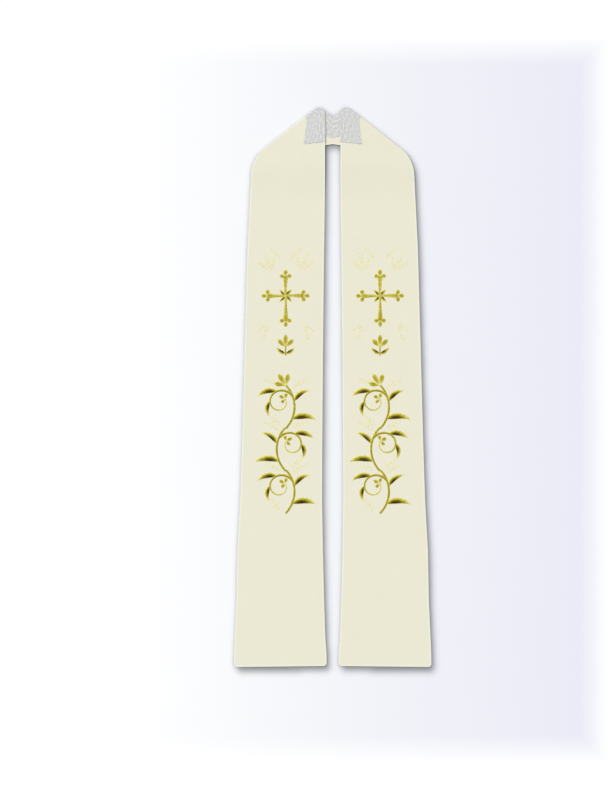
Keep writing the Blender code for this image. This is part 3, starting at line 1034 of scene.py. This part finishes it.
def stitched_stroke(stroke, floor, settings, uneven):
    """The points and shades of one stroke, with rows of points over each stitch, and where each
    point is on its thread."""
    filling = FILLINGS[stroke.shape]
    rows, columns = filling.stitch
    distance, path_x, path_y, path_heading = stroke_path(stroke)
    fine = np.linspace(0, stroke.length, max(FEWEST_WIDTHS, int(stroke.length / WIDTH_STEP)))
    fine_half = stroke_half_widths(stroke, fine / stroke.length)
    reach = 0 if filling.vein else filling.slant * fine_half.max()
    first = -int(reach / settings.thread) - 1
    last = int((stroke.length + reach) / settings.thread) + 1
    number = np.repeat(np.arange(first, last), len(rows))
    phase = np.tile(rows, last - first)
    ridge = np.where(phase == 0, -1.0, 1.0)[:, None]
    jitter = uneven.normal(0, 1, (last - first, 3)).repeat(len(rows), axis=0)
    across = np.sin(np.linspace(-math.pi / 2, math.pi / 2, columns))
    out = np.abs(across)
    along = (number + phase) * settings.thread
    own_half = np.interp(np.clip(along, 0, stroke.length), fine, fine_half)
    if filling.vein:
        along = along - filling.slant * own_half / 2
    at = along[:, None] + filling.slant * own_half[:, None] * (out if filling.vein else across)
    at = np.clip(at, 0, stroke.length)
    keep = (at.max(axis=1) > END_MARGIN) & (at.min(axis=1) < stroke.length - END_MARGIN)
    at, ridge, jitter = at[keep], ridge[keep], jitter[keep]

    half = np.interp(at, fine, fine_half)
    x = np.interp(at, distance, path_x)
    y = np.interp(at, distance, path_y)
    heading = np.interp(at, distance, path_heading)
    ragged = 1 + out**EDGE_POWER * (EDGE_UNEVEN * jitter[:, :1] + EDGE_RIDGE * ridge)
    offset = across * half * ragged
    profile = (1 - out**ROUND_POWER) ** ROUND_BLUNT
    crown = STITCH_EDGE + STITCH_CROWN * np.minimum(1.0, half / CROWN_WIDTH)
    if filling.vein:
        groove = np.exp(-((across / VEIN_WIDTH) ** 2)) * np.clip(half / VEIN_FULL_AT, 0, 1)
        crown = crown * (1 - VEIN_DEPTH * groove)
    rise = crown * profile + settings.thread_rise * ridge * profile**THREAD_BLUNT
    height = floor + rise * (1 + RISE_UNEVEN * jitter[:, 1:2])
    points = np.stack([x - np.sin(heading) * offset, y + np.cos(heading) * offset, height], axis=-1)

    belly = np.clip(half / stroke.width, 0, 1) ** BELLY_POWER
    thick = belly * (1 - out**MIDDLE_POWER)
    near_root = np.exp(-(((at / stroke.length - SHADOW_AT) / SHADOW_REACH) ** 2))
    bend = math.copysign(1, stroke.turn or 1)
    one_side = np.clip(SHADOW_MIDDLE + SHADOW_SIDE * across * bend, 0, 1)
    wide = min(1.0, stroke.width / SHADOW_WIDTH)
    dark = filling.core * thick + filling.shadow * wide * near_root * one_side * thick**0.5
    # Grooves painted darker and rounds lighter: painted shade and painted highlight on each stitch.
    shade = filling.rim - dark + SHADE_UNEVEN * jitter[:, 2:3] + RIDGE_PAINTED_LIGHT * ridge
    run = np.stack([offset, at, np.zeros_like(at)], axis=-1)
    return points, np.clip(shade, 0, 1), run


def moved(strokes, x, y):
    return [stroke._replace(x=stroke.x + x, y=stroke.y + y) for stroke in strokes]


def stitched_piece(name, strokes, floor, material, settings, seed):
    """One mesh of stitched strokes."""
    uneven = np.random.default_rng(seed)
    points, faces, shades, runs = [], [], [], []
    start = 0
    for stroke in strokes:
        grid, shade, run = stitched_stroke(stroke, floor, settings, uneven)
        rows, columns = grid.shape[:2]
        faces.append(grid_faces(rows, columns, start)[:, ::-1])
        points.append(grid.reshape(-1, 3))
        shades.append(shade.ravel())
        runs.append(run.reshape(-1, 3))
        start += rows * columns
    made = finished_object(name, np.concatenate(points), np.concatenate(faces).tolist(), material)
    add_values(made.data, "shade", "FLOAT", np.concatenate(shades))
    add_values(made.data, "thread_place", "FLOAT_VECTOR", np.concatenate(runs))
    return made


# Materials


CLOTH_GRAIN_SCALE = 24.0
CLOTH_GRAIN = 0.035
LACE_GRAIN_SCALE = 190.0
LACE_GRAIN = 0.36
LACE_TWIST = 0.00028
THREAD_GRAIN_SCALE = 420.0
THREAD_GRAIN = 0.30
TABLE_GRAIN_SCALE = 9.0
TABLE_GRAIN = 0.012

# How many features to the metre the threads of the weave and the strands of a thread have, each way.
WARP = (2600, 160, 1)
WEFT = (140, 2400, 1)
STRANDS = (900, 9000, 1)
SLUB_HEIGHT = 1.2
SLUB_FLECK = 4.0

# The lighter edge of the cloth, partly the thicker turned edge and partly a painted highlight: full
# this near to it, and gone this far past the turned-in edge.
EDGE_TONE_FULL = 0.0012
EDGE_TONE_PAST = 0.0008

# Where the colours of the settings lie on each ramp.
Tone = namedtuple("Tone", "position colour")
# The lace's ramp, by height: painted shade in the openings and the ground, painted highlight on the
# knots.
LACE_TONES = (
    Tone(0.00, "opening_painted_shade_colour"),
    Tone(0.30, "ground_painted_shade_colour"),
    Tone(0.70, "rib_colour"),
    Tone(1.00, "knot_painted_highlight_colour"),
)
GOLD_TONES = (
    Tone(0.00, "gold_deepest"),
    Tone(0.18, "gold_deep"),
    Tone(0.40, "gold_dark"),
    Tone(0.62, "gold_plain"),
    Tone(0.80, "gold_light"),
    Tone(1.00, "gold_lightest"),
)
CREAM_TONES = (
    Tone(0.00, "cream_dark"),
    Tone(1.00, "cream_light"),
)
TABLE_TONES = (
    Tone(0.00, "table_colour"),
    Tone(0.25, "tint_left"),
    Tone(0.50, "tint_middle"),
    Tone(0.85, "tint_right"),
    Tone(1.00, "tint_far_right"),
)

# The tinted middle of the table: where its tones start and end from left to right, its centre, half
# its size, and how softly it ends.
TINT_ENDS = (-0.70, 0.60)
TINT_CENTRE = (0.078, -0.026)
TINT_HALF_SIZE = (0.459, 0.719)
TINT_FADE = 0.030


def feed(tree, value, socket):
    """Links a value to a socket where it comes from a node, and otherwise sets it there."""
    if isinstance(value, bpy.types.NodeSocket):
        tree.links.new(value, socket)
    else:
        socket.default_value = value


def group_with(name, inputs, outputs):
    """A node group with these named sockets, and its nodes for what comes in and goes out."""
    made = bpy.data.node_groups.new(name, "ShaderNodeTree")
    for socket_name, kind, value in inputs:
        socket = made.interface.new_socket(socket_name, in_out="INPUT", socket_type=kind)
        if value is not None:
            socket.default_value = value
    for socket_name, kind in outputs:
        made.interface.new_socket(socket_name, in_out="OUTPUT", socket_type=kind)
    return made, made.nodes.new("NodeGroupInput"), made.nodes.new("NodeGroupOutput")


def math_node(tree, operation, *values):
    node = tree.nodes.new("ShaderNodeMath")
    node.operation = operation
    for socket, value in zip(node.inputs, values):
        feed(tree, value, socket)
    return node.outputs[0]


def noise_node(tree, place, scale, detail, stretch=None):
    """A noise texture. scale is the number of features to the metre."""
    if stretch is not None:
        mapping = tree.nodes.new("ShaderNodeMapping")
        mapping.inputs["Scale"].default_value = stretch
        tree.links.new(place, mapping.inputs["Vector"])
        place = mapping.outputs["Vector"]
    node = tree.nodes.new("ShaderNodeTexNoise")
    node.inputs["Detail"].default_value = detail
    feed(tree, scale, node.inputs["Scale"])
    tree.links.new(place, node.inputs["Vector"])
    return node.outputs["Fac"]


def weave_group():
    """Plain weave: the height of its threads, and a fleck where a thread is thicker."""
    name = "Plain weave"
    if name in bpy.data.node_groups:
        return bpy.data.node_groups[name]
    tree, given, result = group_with(
        name,
        (("Place", "NodeSocketVector", None), ("Thread Pitch", "NodeSocketFloat", 0.0005)),
        (("Height", "NodeSocketFloat"), ("Fleck", "NodeSocketFloat")),
    )
    split = tree.nodes.new("ShaderNodeSeparateXYZ")
    tree.links.new(given.outputs["Place"], split.inputs[0])
    waves = []
    for axis in ("X", "Y"):
        turns = math_node(tree, "DIVIDE", split.outputs[axis], given.outputs["Thread Pitch"])
        waves.append(math_node(tree, "SINE", math_node(tree, "MULTIPLY", turns, math.pi)))
    threads = math_node(tree, "MULTIPLY", *waves)
    warp = noise_node(tree, given.outputs["Place"], scale=1.0, detail=2, stretch=WARP)
    weft = noise_node(tree, given.outputs["Place"], scale=1.0, detail=2, stretch=WEFT)
    slub = math_node(tree, "MULTIPLY", warp, weft)
    height = math_node(tree, "MULTIPLY_ADD", threads, 0.5, 0.5)
    thick = math_node(tree, "ADD", height, math_node(tree, "MULTIPLY", slub, SLUB_HEIGHT))
    tree.links.new(thick, result.inputs["Height"])
    tree.links.new(math_node(tree, "MULTIPLY", slub, SLUB_FLECK), result.inputs["Fleck"])
    return tree


def strand_group():
    """The fine strands that lie along a thread."""
    name = "Thread strands"
    if name in bpy.data.node_groups:
        return bpy.data.node_groups[name]
    tree, given, result = group_with(
        name, (("Place", "NodeSocketVector", None),), (("Height", "NodeSocketFloat"),)
    )
    strands = noise_node(tree, given.outputs["Place"], scale=1.0, detail=2, stretch=STRANDS)
    tree.links.new(strands, result.inputs["Height"])
    return tree


def mottle_group():
    """Unevenness of colour, about 1."""
    name = "Mottle"
    if name in bpy.data.node_groups:
        return bpy.data.node_groups[name]
    tree, given, result = group_with(
        name,
        (
            ("Place", "NodeSocketVector", None),
            ("Scale", "NodeSocketFloat", 20.0),
            ("Amount", "NodeSocketFloat", 0.05),
        ),
        (("Value", "NodeSocketFloat"),),
    )
    cloud = noise_node(tree, given.outputs["Place"], given.outputs["Scale"], detail=3)
    centred = math_node(tree, "SUBTRACT", cloud, 0.5)
    scaled = math_node(tree, "MULTIPLY", centred, given.outputs["Amount"])
    tree.links.new(math_node(tree, "ADD", scaled, 1.0), result.inputs["Value"])
    return tree


def use_group(tree, group, **values):
    node = tree.nodes.new("ShaderNodeGroup")
    node.node_tree = group
    for key, value in values.items():
        feed(tree, value, node.inputs[key.replace("_", " ")])
    return node


def new_material(name, values):
    """A material whose shader has these values on its own sockets."""
    made = bpy.data.materials.new(name)
    made.use_nodes = True
    shader = made.node_tree.nodes["Principled BSDF"]
    for socket, value in values.items():
        shader.inputs[socket].default_value = value
    return made, made.node_tree, shader


def attribute(tree, name, output):
    node = tree.nodes.new("ShaderNodeAttribute")
    node.attribute_name = name
    return node.outputs[output]


def mix_colour(tree, factor, first, second, blend="MIX"):
    """Two colours mixed, where a colour is a socket or three numbers."""
    node = tree.nodes.new("ShaderNodeMix")
    node.data_type = "RGBA"
    node.blend_type = blend
    feed(tree, factor, node.inputs[0])
    for socket, value in zip(node.inputs[6:8], (first, second)):
        feed(tree, value if isinstance(value, bpy.types.NodeSocket) else (*value, 1.0), socket)
    return node.outputs[2]


def map_range(tree, value, low, high, to_low, to_high):
    node = tree.nodes.new("ShaderNodeMapRange")
    tree.links.new(value, node.inputs["Value"])
    node.inputs["From Min"].default_value = low
    node.inputs["From Max"].default_value = high
    node.inputs["To Min"].default_value = to_low
    node.inputs["To Max"].default_value = to_high
    return node.outputs["Result"]


def colour_ramp(tree, factor, settings, tones):
    """A ramp through colours of the settings."""
    node = tree.nodes.new("ShaderNodeValToRGB")
    elements = node.color_ramp.elements
    while len(elements) < len(tones):
        elements.new(0.5)
    for element, tone in zip(elements, tones):
        element.position = tone.position
        element.color = (*getattr(settings, tone.colour), 1.0)
    tree.links.new(factor, node.inputs["Fac"])
    return node.outputs["Color"]


def bump(tree, shader, height, strength, distance):
    node = tree.nodes.new("ShaderNodeBump")
    node.inputs["Strength"].default_value = strength
    node.inputs["Distance"].default_value = distance
    tree.links.new(height, node.inputs["Height"])
    tree.links.new(node.outputs["Normal"], shader.inputs["Normal"])


def cloth_material(settings):
    name = "Ivory cloth"
    if name in bpy.data.materials:
        return bpy.data.materials[name]
    made, tree, shader = new_material(
        name,
        {
            "Roughness": 0.78,
            "Sheen Weight": 0.12,
            "Sheen Roughness": 0.5,
            "Specular IOR Level": 0.25,
        },
    )
    place = attribute(tree, "cloth_place", "Vector")
    edge = attribute(tree, "edge_distance", "Fac")
    weave = use_group(tree, weave_group(), Place=place, Thread_Pitch=settings.weave_pitch)
    mottle = use_group(
        tree, mottle_group(), Place=place, Scale=CLOTH_GRAIN_SCALE, Amount=CLOTH_GRAIN
    )
    # A lighter band along the edges: partly the thicker turned edge, partly a painted highlight.
    rim = map_range(tree, edge, EDGE_TONE_FULL, settings.turned_edge + EDGE_TONE_PAST, 1.0, 0.0)
    body = mix_colour(tree, weave.outputs["Fleck"], settings.thin_colour, settings.thick_colour)
    cloth = mix_colour(tree, rim, body, settings.edge_and_highlight_colour)
    even = mix_colour(tree, 1.0, cloth, mottle.outputs["Value"], "MULTIPLY")
    tree.links.new(even, shader.inputs["Base Color"])
    bump(tree, shader, weave.outputs["Height"], strength=0.35, distance=0.00012)
    return made


def lace_material(settings):
    made, tree, shader = new_material(
        "Lace thread", {"Roughness": 0.86, "Sheen Weight": 0.1, "Specular IOR Level": 0.2}
    )
    place = attribute(tree, "lace_place", "Vector")
    relief = attribute(tree, "relief", "Fac")
    mottle = use_group(tree, mottle_group(), Place=place, Scale=LACE_GRAIN_SCALE, Amount=LACE_GRAIN)
    twist = use_group(tree, weave_group(), Place=place, Thread_Pitch=LACE_TWIST)
    # The relief's height sets the colour: painted shade low down, painted highlight on the knots.
    tone = colour_ramp(tree, relief, settings, LACE_TONES)
    thread = mix_colour(tree, 1.0, tone, mottle.outputs["Value"], "MULTIPLY")
    tree.links.new(thread, shader.inputs["Base Color"])
    bump(tree, shader, twist.outputs["Height"], strength=0.5, distance=0.00012)
    return made


def thread_material(name, settings, tones, values):
    """Stitching thread, coloured from the shade kept at each point of a stitch."""
    if name in bpy.data.materials:
        return bpy.data.materials[name]
    made, tree, shader = new_material(name, {"Specular IOR Level": 0.15, **values})
    place = attribute(tree, "thread_place", "Vector")
    shade = attribute(tree, "shade", "Fac")
    mottle = use_group(
        tree, mottle_group(), Place=place, Scale=THREAD_GRAIN_SCALE, Amount=THREAD_GRAIN
    )
    uneven = math_node(tree, "MULTIPLY", shade, mottle.outputs["Value"])
    tree.links.new(colour_ramp(tree, uneven, settings, tones), shader.inputs["Base Color"])
    strands = use_group(tree, strand_group(), Place=place)
    bump(tree, shader, strands.outputs["Height"], strength=0.3, distance=0.00008)
    return made


def gold_material(settings):
    return thread_material("Gold thread", settings, GOLD_TONES, {"Metallic": 0.20, "Roughness": 0.45})


def cream_material(settings):
    return thread_material("Cream thread", settings, CREAM_TONES, {"Roughness": 0.5})


def past_middle(tree, place, centre, half_size):
    """How far a place is outside the tinted middle of the table."""
    away = math_node(tree, "ABSOLUTE", math_node(tree, "SUBTRACT", place, centre))
    return math_node(tree, "SUBTRACT", away, half_size)


def table_material(settings):
    made, tree, shader = new_material("Pale table", {"Roughness": 0.9, "Specular IOR Level": 0.0})
    coordinates = tree.nodes.new("ShaderNodeTexCoord").outputs["Object"]
    split = tree.nodes.new("ShaderNodeSeparateXYZ")
    tree.links.new(coordinates, split.inputs[0])
    across = map_range(tree, split.outputs["X"], *TINT_ENDS, 0.0, 1.0)
    tone = colour_ramp(tree, across, settings, TABLE_TONES)
    beyond = [
        past_middle(tree, split.outputs[axis], centre, half_size)
        for axis, centre, half_size in zip("XY", TINT_CENTRE, TINT_HALF_SIZE)
    ]
    away = map_range(tree, math_node(tree, "MAXIMUM", *beyond), -TINT_FADE, TINT_FADE, 0.0, 1.0)
    tone = mix_colour(tree, away, tone, settings.table_colour)
    grain = use_group(
        tree, mottle_group(), Place=coordinates, Scale=TABLE_GRAIN_SCALE, Amount=TABLE_GRAIN
    )
    plain = mix_colour(tree, 1.0, tone, grain.outputs["Value"], "MULTIPLY")
    # The stole's painted shadow darkens the table's colour here.
    with_painted_shadow = mix_colour(tree, 1.0, plain, attribute(tree, "painted_shadow_factor", "Fac"), "MULTIPLY")
    tree.links.new(with_painted_shadow, shader.inputs["Base Color"])
    return made


# Pieces


def check_nodes(*names):
    missing = [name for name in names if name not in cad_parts]
    if missing:
        raise RuntimeError("The frame has no " + ", ".join(missing))


def settle(piece, slot, *nodes):
    """Ties a piece to the stole's body and lets it stand for these nodes of the frame."""
    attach(piece, BODY)
    if nodes:
        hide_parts(*nodes)


# Rows of points along each stretch of a front, and along half of the band.
HEM_ROWS = 12
NECK_ROW_STEP = 0.003
TIP_ROWS = 18
FOLD_ROWS = 24
BAND_ROWS = 40


class STOLE_OT_lay_fronts(bpy.types.Operator):
    """Lays the two fronts, each from its hem to the seam behind its shoulder fold"""

    bl_idname = "stole.lay_fronts"
    bl_label = "Lay the Fronts"
    bl_options = {"REGISTER", "UNDO"}

    def execute(self, context):
        check_nodes("left_front", "left_shoulder", "right_front", "right_shoulder")
        settings = context.scene.stole_cloth
        material = cloth_material(settings)
        rings = (
            hem_rings(HEM_ROWS)
            + straight_rings(settings.row_step)
            + neck_rings(STRAIGHT_END, NECK_ROW_STEP, TIP_ROWS)
            + fold_rings(FOLD_ROWS)
        )
        for hand, side, laid in (("right", 1, rings), ("left", -1, [mirrored(r) for r in rings])):
            name = hand + "_front_cloth"
            piece, area = cloth_piece(name, laid, material, settings, hem_height(side))
            settle(piece, CLOTH_SLOT, hand + "_front", hand + "_shoulder")
        return {"FINISHED"}


class STOLE_OT_lay_neck_band(bpy.types.Operator):
    """Lays the neck band, face down under the fronts"""

    bl_idname = "stole.lay_neck_band"
    bl_label = "Lay the Neck Band"
    bl_options = {"REGISTER", "UNDO"}

    def execute(self, context):
        check_nodes("neck_band")
        settings = context.scene.stole_cloth
        right = back_rings(BAND_ROWS)
        left = [mirrored(ring) for ring in reversed(right[:-1])]
        piece, area = cloth_piece(
            "neck_band_cloth", right + left, cloth_material(settings), settings
        )
        settle(piece, CLOTH_SLOT, "neck_band")
        return {"FINISHED"}


class STOLE_OT_lay_neck_guard(bpy.types.Operator):
    """Folds the lace guard over the neck edge"""

    bl_idname = "stole.lay_neck_guard"
    bl_label = "Fold the Lace Guard"
    bl_options = {"REGISTER", "UNDO"}

    def execute(self, context):
        check_nodes("neck_lace")
        settings = context.scene.stole_lace
        outer_grid, inner_grid, relief, place = lace_grids(settings)
        piece = shell("neck_guard", outer_grid, inner_grid, lace_material(settings))
        add_values(piece.data, "relief", "FLOAT", np.concatenate([relief, np.zeros_like(relief)]))
        add_values(piece.data, "lace_place", "FLOAT_VECTOR", np.concatenate([place, place]))
        settle(piece, LACE_SLOT, "neck_lace")
        return {"FINISHED"}


class STOLE_OT_stitch_gold(bpy.types.Operator):
    """Stitches the cross, the sprig and the running scroll in gold on both fronts"""

    bl_idname = "stole.stitch_gold"
    bl_label = "Stitch the Gold"
    bl_options = {"REGISTER", "UNDO"}

    def execute(self, context):
        settings = context.scene.stole_stitching
        floor = CLOTH - context.scene.stole_cloth.edge_rise - GOLD_SUNK
        motifs = {
            "cross": (CROSS_HEIGHT, cross_strokes()),
            "sprig": (SPRIG_HEIGHT, sprig_strokes()),
        }
        for number, name in enumerate(SCROLL_CELLS):
            strokes = cell_strokes(turn_side(number), name == SCROLL_CELLS[-1])
            motifs[name] = (SCROLL_START + number * SCROLL_CELL, strokes)
        for number, (name, (height, strokes)) in enumerate(motifs.items()):
            for hand, side in HANDS:
                node = f"{hand}_{name}"
                check_nodes(node)
                placed = moved(strokes, side * DESIGN_CENTRE, height)
                seed = settings.seed + number * 2 + side
                piece = stitched_piece(
                    node + "_stitching", placed, floor, gold_material(settings), settings, seed
                )
                settle(piece, GOLD_SLOT, node)
        return {"FINISHED"}


class STOLE_OT_stitch_sprays(bpy.types.Operator):
    """Stitches the pale sprays on both fronts"""

    bl_idname = "stole.stitch_sprays"
    bl_label = "Stitch the Pale Sprays"
    bl_options = {"REGISTER", "UNDO"}

    def execute(self, context):
        settings = context.scene.stole_stitching
        floor = CLOTH - context.scene.stole_cloth.edge_rise - PALE_SUNK
        for hand, side in HANDS:
            placed = moved(spray_strokes(), side * DESIGN_CENTRE, 0)
            seed = settings.seed + PALE_SEED + side
            piece = stitched_piece(
                hand + "_sprays", placed, floor, cream_material(settings), settings, seed
            )
            settle(piece, CLOTH_SLOT)
        return {"FINISHED"}


# Table, light and camera


# The soft distant light: how high it is, where it comes from round the table (0 is the right, 90 the
# neck) and how wide it is, in degrees.
SUN_HEIGHT = 68
SUN_HEADING = 130
SUN_SPREAD = 30
SUN_DISTANCE = 3.0

# A shadow of the stole painted into the table's colour: how far it falls to the right and down, how
# soft it is, and how much of the light it takes. It ends just inside the stole's outline, because
# the lights shade the table under the cloth.
PaintedShadow = namedtuple("PaintedShadow", "right down blur depth")
PAINTED_TABLE_SHADOWS = (
    PaintedShadow(0.0062, 0.0102, 0.0062, 0.63),
    PaintedShadow(0.0, 0.0, 0.0042, 0.46),
)
UNDER_BLUR = 0.003
UNDER_SHARE = 0.3

# The table reaches TABLE_REACH each way. Its points are close together out to TABLE_NEAR, half a
# width and half a length. It lies just under the stole.
TABLE_REACH = 4.0
TABLE_LEVEL = -0.0002
TABLE_STEP = 0.0025
TABLE_NEAR = (0.26, 0.63)

# The stole's plan is counted from points this close together, with this many in a full place.
PLAN_SPACING = 0.0005
PLAN_COLUMNS = 300
PLAN_HEM_ROWS = 30
PLAN_TIP_ROWS = 40
PLAN_FOLD_ROWS = 2
PLAN_BAND_ROWS = 80
PLAN_FULL = 17

# Where the camera stands beside the stole's middle, and its sensor in millimetres.
CAMERA_PLACE = (-0.0540, -0.0263)
SENSOR_HEIGHT = 24.0
CLIP_END = 50.0


def stole_plan(rings, across, up):
    """How far the stole covers each place of a grid on the table, from 0 to 1."""
    ends = np.array([(*ring.inner[:2], *ring.outer[:2]) for ring in rings])
    share = np.linspace(0, 1, PLAN_COLUMNS)[:, None, None]
    places = (ends[:, :2] * (1 - share) + ends[:, 2:] * share).reshape(-1, 2)
    places[:, 1] -= LENGTH / 2
    edges = [np.append(line, line[-1] + TABLE_STEP) - TABLE_STEP / 2 for line in (across, up)]
    return np.minimum(1, np.histogram2d(*places.T, bins=edges)[0] / PLAN_FULL)


def blurred(values, reach):
    """A grid softened both ways; reach is the blur's standard deviation."""
    span = math.ceil(3 * reach / TABLE_STEP)
    weights = np.exp(-0.5 * (np.arange(-span, span + 1) * TABLE_STEP / reach) ** 2)
    weights /= weights.sum()
    for axis in (0, 1):
        values = np.apply_along_axis(np.convolve, axis, values, weights, "same")
    return values


def table_grid():
    """The table's points and faces, close together near the stole, and the share of the table's colour
    that the painted shadow leaves at each point.
    """
    across, up = (np.arange(-half, half, TABLE_STEP) for half in TABLE_NEAR)
    half = hem_rings(PLAN_HEM_ROWS) + straight_rings(PLAN_SPACING)
    half += neck_rings(STRAIGHT_END, PLAN_SPACING, PLAN_TIP_ROWS)
    half += fold_rings(PLAN_FOLD_ROWS) + back_rings(PLAN_BAND_ROWS)
    rings = half + [mirrored(ring) for ring in half]
    light = np.ones((len(across), len(up)))
    # Each layer paints a shifted, blurred copy of the stole's plan into the table's colour as painted
    # shadow.
    for shade in PAINTED_TABLE_SHADOWS:
        plan = stole_plan(rings, across - shade.right, up + shade.down)
        light *= 1 - shade.depth * blurred(plan, shade.blur)
    # The painted shadow fades out under the stole, where the lights shade the table.
    under = blurred(stole_plan(rings, across, up), UNDER_BLUR)
    light = 1 - (1 - light) * np.clip((1 - under) / UNDER_SHARE, 0, 1)
    light = np.pad(light, 1, constant_values=1.0)
    across, up = (np.concatenate([[-TABLE_REACH], line, [TABLE_REACH]]) for line in (across, up))
    grid = np.meshgrid(across, up, indexing="ij")
    points = np.stack([*grid, np.full_like(light, TABLE_LEVEL)], axis=-1).reshape(-1, 3)
    faces = grid_faces(*light.shape)[:, ::-1]
    return points, faces, light


def add_sun(name, strength, receivers):
    """A soft distant light that lights only these objects."""
    height = math.radians(SUN_HEIGHT)
    heading = math.radians(SUN_HEADING)
    light = bpy.data.lights.new(name, "SUN")
    light.energy = strength * math.pi / math.sin(height)
    light.angle = math.radians(SUN_SPREAD)
    made = bpy.data.objects.new(name, light)
    level = Vector((math.cos(heading), math.sin(heading), 0)) * math.cos(height)
    toward = level + UP * math.sin(height)
    made.rotation_euler = toward.to_track_quat("Z", "Y").to_euler()
    made.location = toward * SUN_DISTANCE
    bpy.context.scene.collection.objects.link(made)
    lit = bpy.data.collections.new(name + " lights")
    for item in receivers:
        lit.objects.link(item)
    made.light_linking.receiver_collection = lit


class STOLE_OT_set_stage(bpy.types.Operator):
    """Sets out the pale table, the lights and the camera"""

    bl_idname = "stole.set_stage"
    bl_label = "Set the Stage"
    bl_options = {"REGISTER", "UNDO"}

    def execute(self, context):
        scene = context.scene
        settings = scene.stole_stage
        points, faces, light = table_grid()
        table_mesh = bpy.data.meshes.new("table")
        table_mesh.from_pydata(points.tolist(), [], faces.tolist())
        # The painted shadow is kept on the table's points for the table's material.
        add_values(table_mesh, "painted_shadow_factor", "FLOAT", light)
        table_mesh.materials.append(table_material(settings))
        table = bpy.data.objects.new("table", table_mesh)
        scene.collection.objects.link(table)
        table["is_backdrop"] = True

        world = bpy.data.worlds.new("Studio")
        world.use_nodes = True
        background = world.node_tree.nodes["Background"]
        background.inputs["Color"].default_value = (1.0, 1.0, 1.0, 1.0)
        background.inputs["Strength"].default_value = settings.fill
        scene.world = world
        pieces = [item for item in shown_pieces() if not item.hide_render]
        add_sun("soft key", 1 - settings.fill, pieces)
        add_sun("table key", settings.table_light - settings.fill, [table])

        camera = bpy.data.cameras.new("Camera")
        camera.sensor_fit = "VERTICAL"
        camera.sensor_height = SENSOR_HEIGHT
        camera.lens = SENSOR_HEIGHT * settings.camera_height / settings.frame_height
        camera.clip_end = CLIP_END
        eye = bpy.data.objects.new("Camera", camera)
        eye.location = (*CAMERA_PLACE, settings.camera_height)
        scene.collection.objects.link(eye)
        scene.camera = eye
        scene.view_settings.view_transform = "Standard"
        return {"FINISHED"}


class STOLE_PT_stole(bpy.types.Panel):
    """The stole's steps and their settings"""

    bl_idname = "STOLE_PT_stole"
    bl_label = "Clerical Stole"
    bl_space_type = "VIEW_3D"
    bl_region_type = "UI"
    bl_category = "Stole"

    def draw(self, context):
        for step in STEPS:
            self.layout.operator(step.bl_idname)
        for group in SCENE_GROUPS:
            settings = getattr(context.scene, group)
            for key in type(settings).__annotations__:
                self.layout.prop(settings, key)


STEPS = (
    STOLE_OT_lay_fronts,
    STOLE_OT_lay_neck_band,
    STOLE_OT_lay_neck_guard,
    STOLE_OT_stitch_gold,
    STOLE_OT_stitch_sprays,
    STOLE_OT_set_stage,
)
SETTINGS = (
    StoleClothSettings,
    StoleLaceSettings,
    StoleStitchingSettings,
    StoleStageSettings,
)


def register():
    for made in SETTINGS + STEPS + (STOLE_PT_stole,):
        bpy.utils.register_class(made)
    for group, made in zip(SCENE_GROUPS, SETTINGS):
        setattr(bpy.types.Scene, group, PointerProperty(type=made))


def unregister():
    for group in SCENE_GROUPS:
        delattr(bpy.types.Scene, group)
    for made in reversed(SETTINGS + STEPS + (STOLE_PT_stole,)):
        bpy.utils.unregister_class(made)


def corners():
    return [list(corner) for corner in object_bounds()]


def main():
    register()
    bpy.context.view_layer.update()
    bpy.ops.stole.lay_fronts()
    bpy.ops.stole.lay_neck_band()
    bpy.ops.stole.lay_neck_guard()
    bpy.ops.stole.stitch_gold()
    bpy.ops.stole.stitch_sprays()
    bpy.ops.stole.set_stage()


if __name__ == "__main__":
    main()
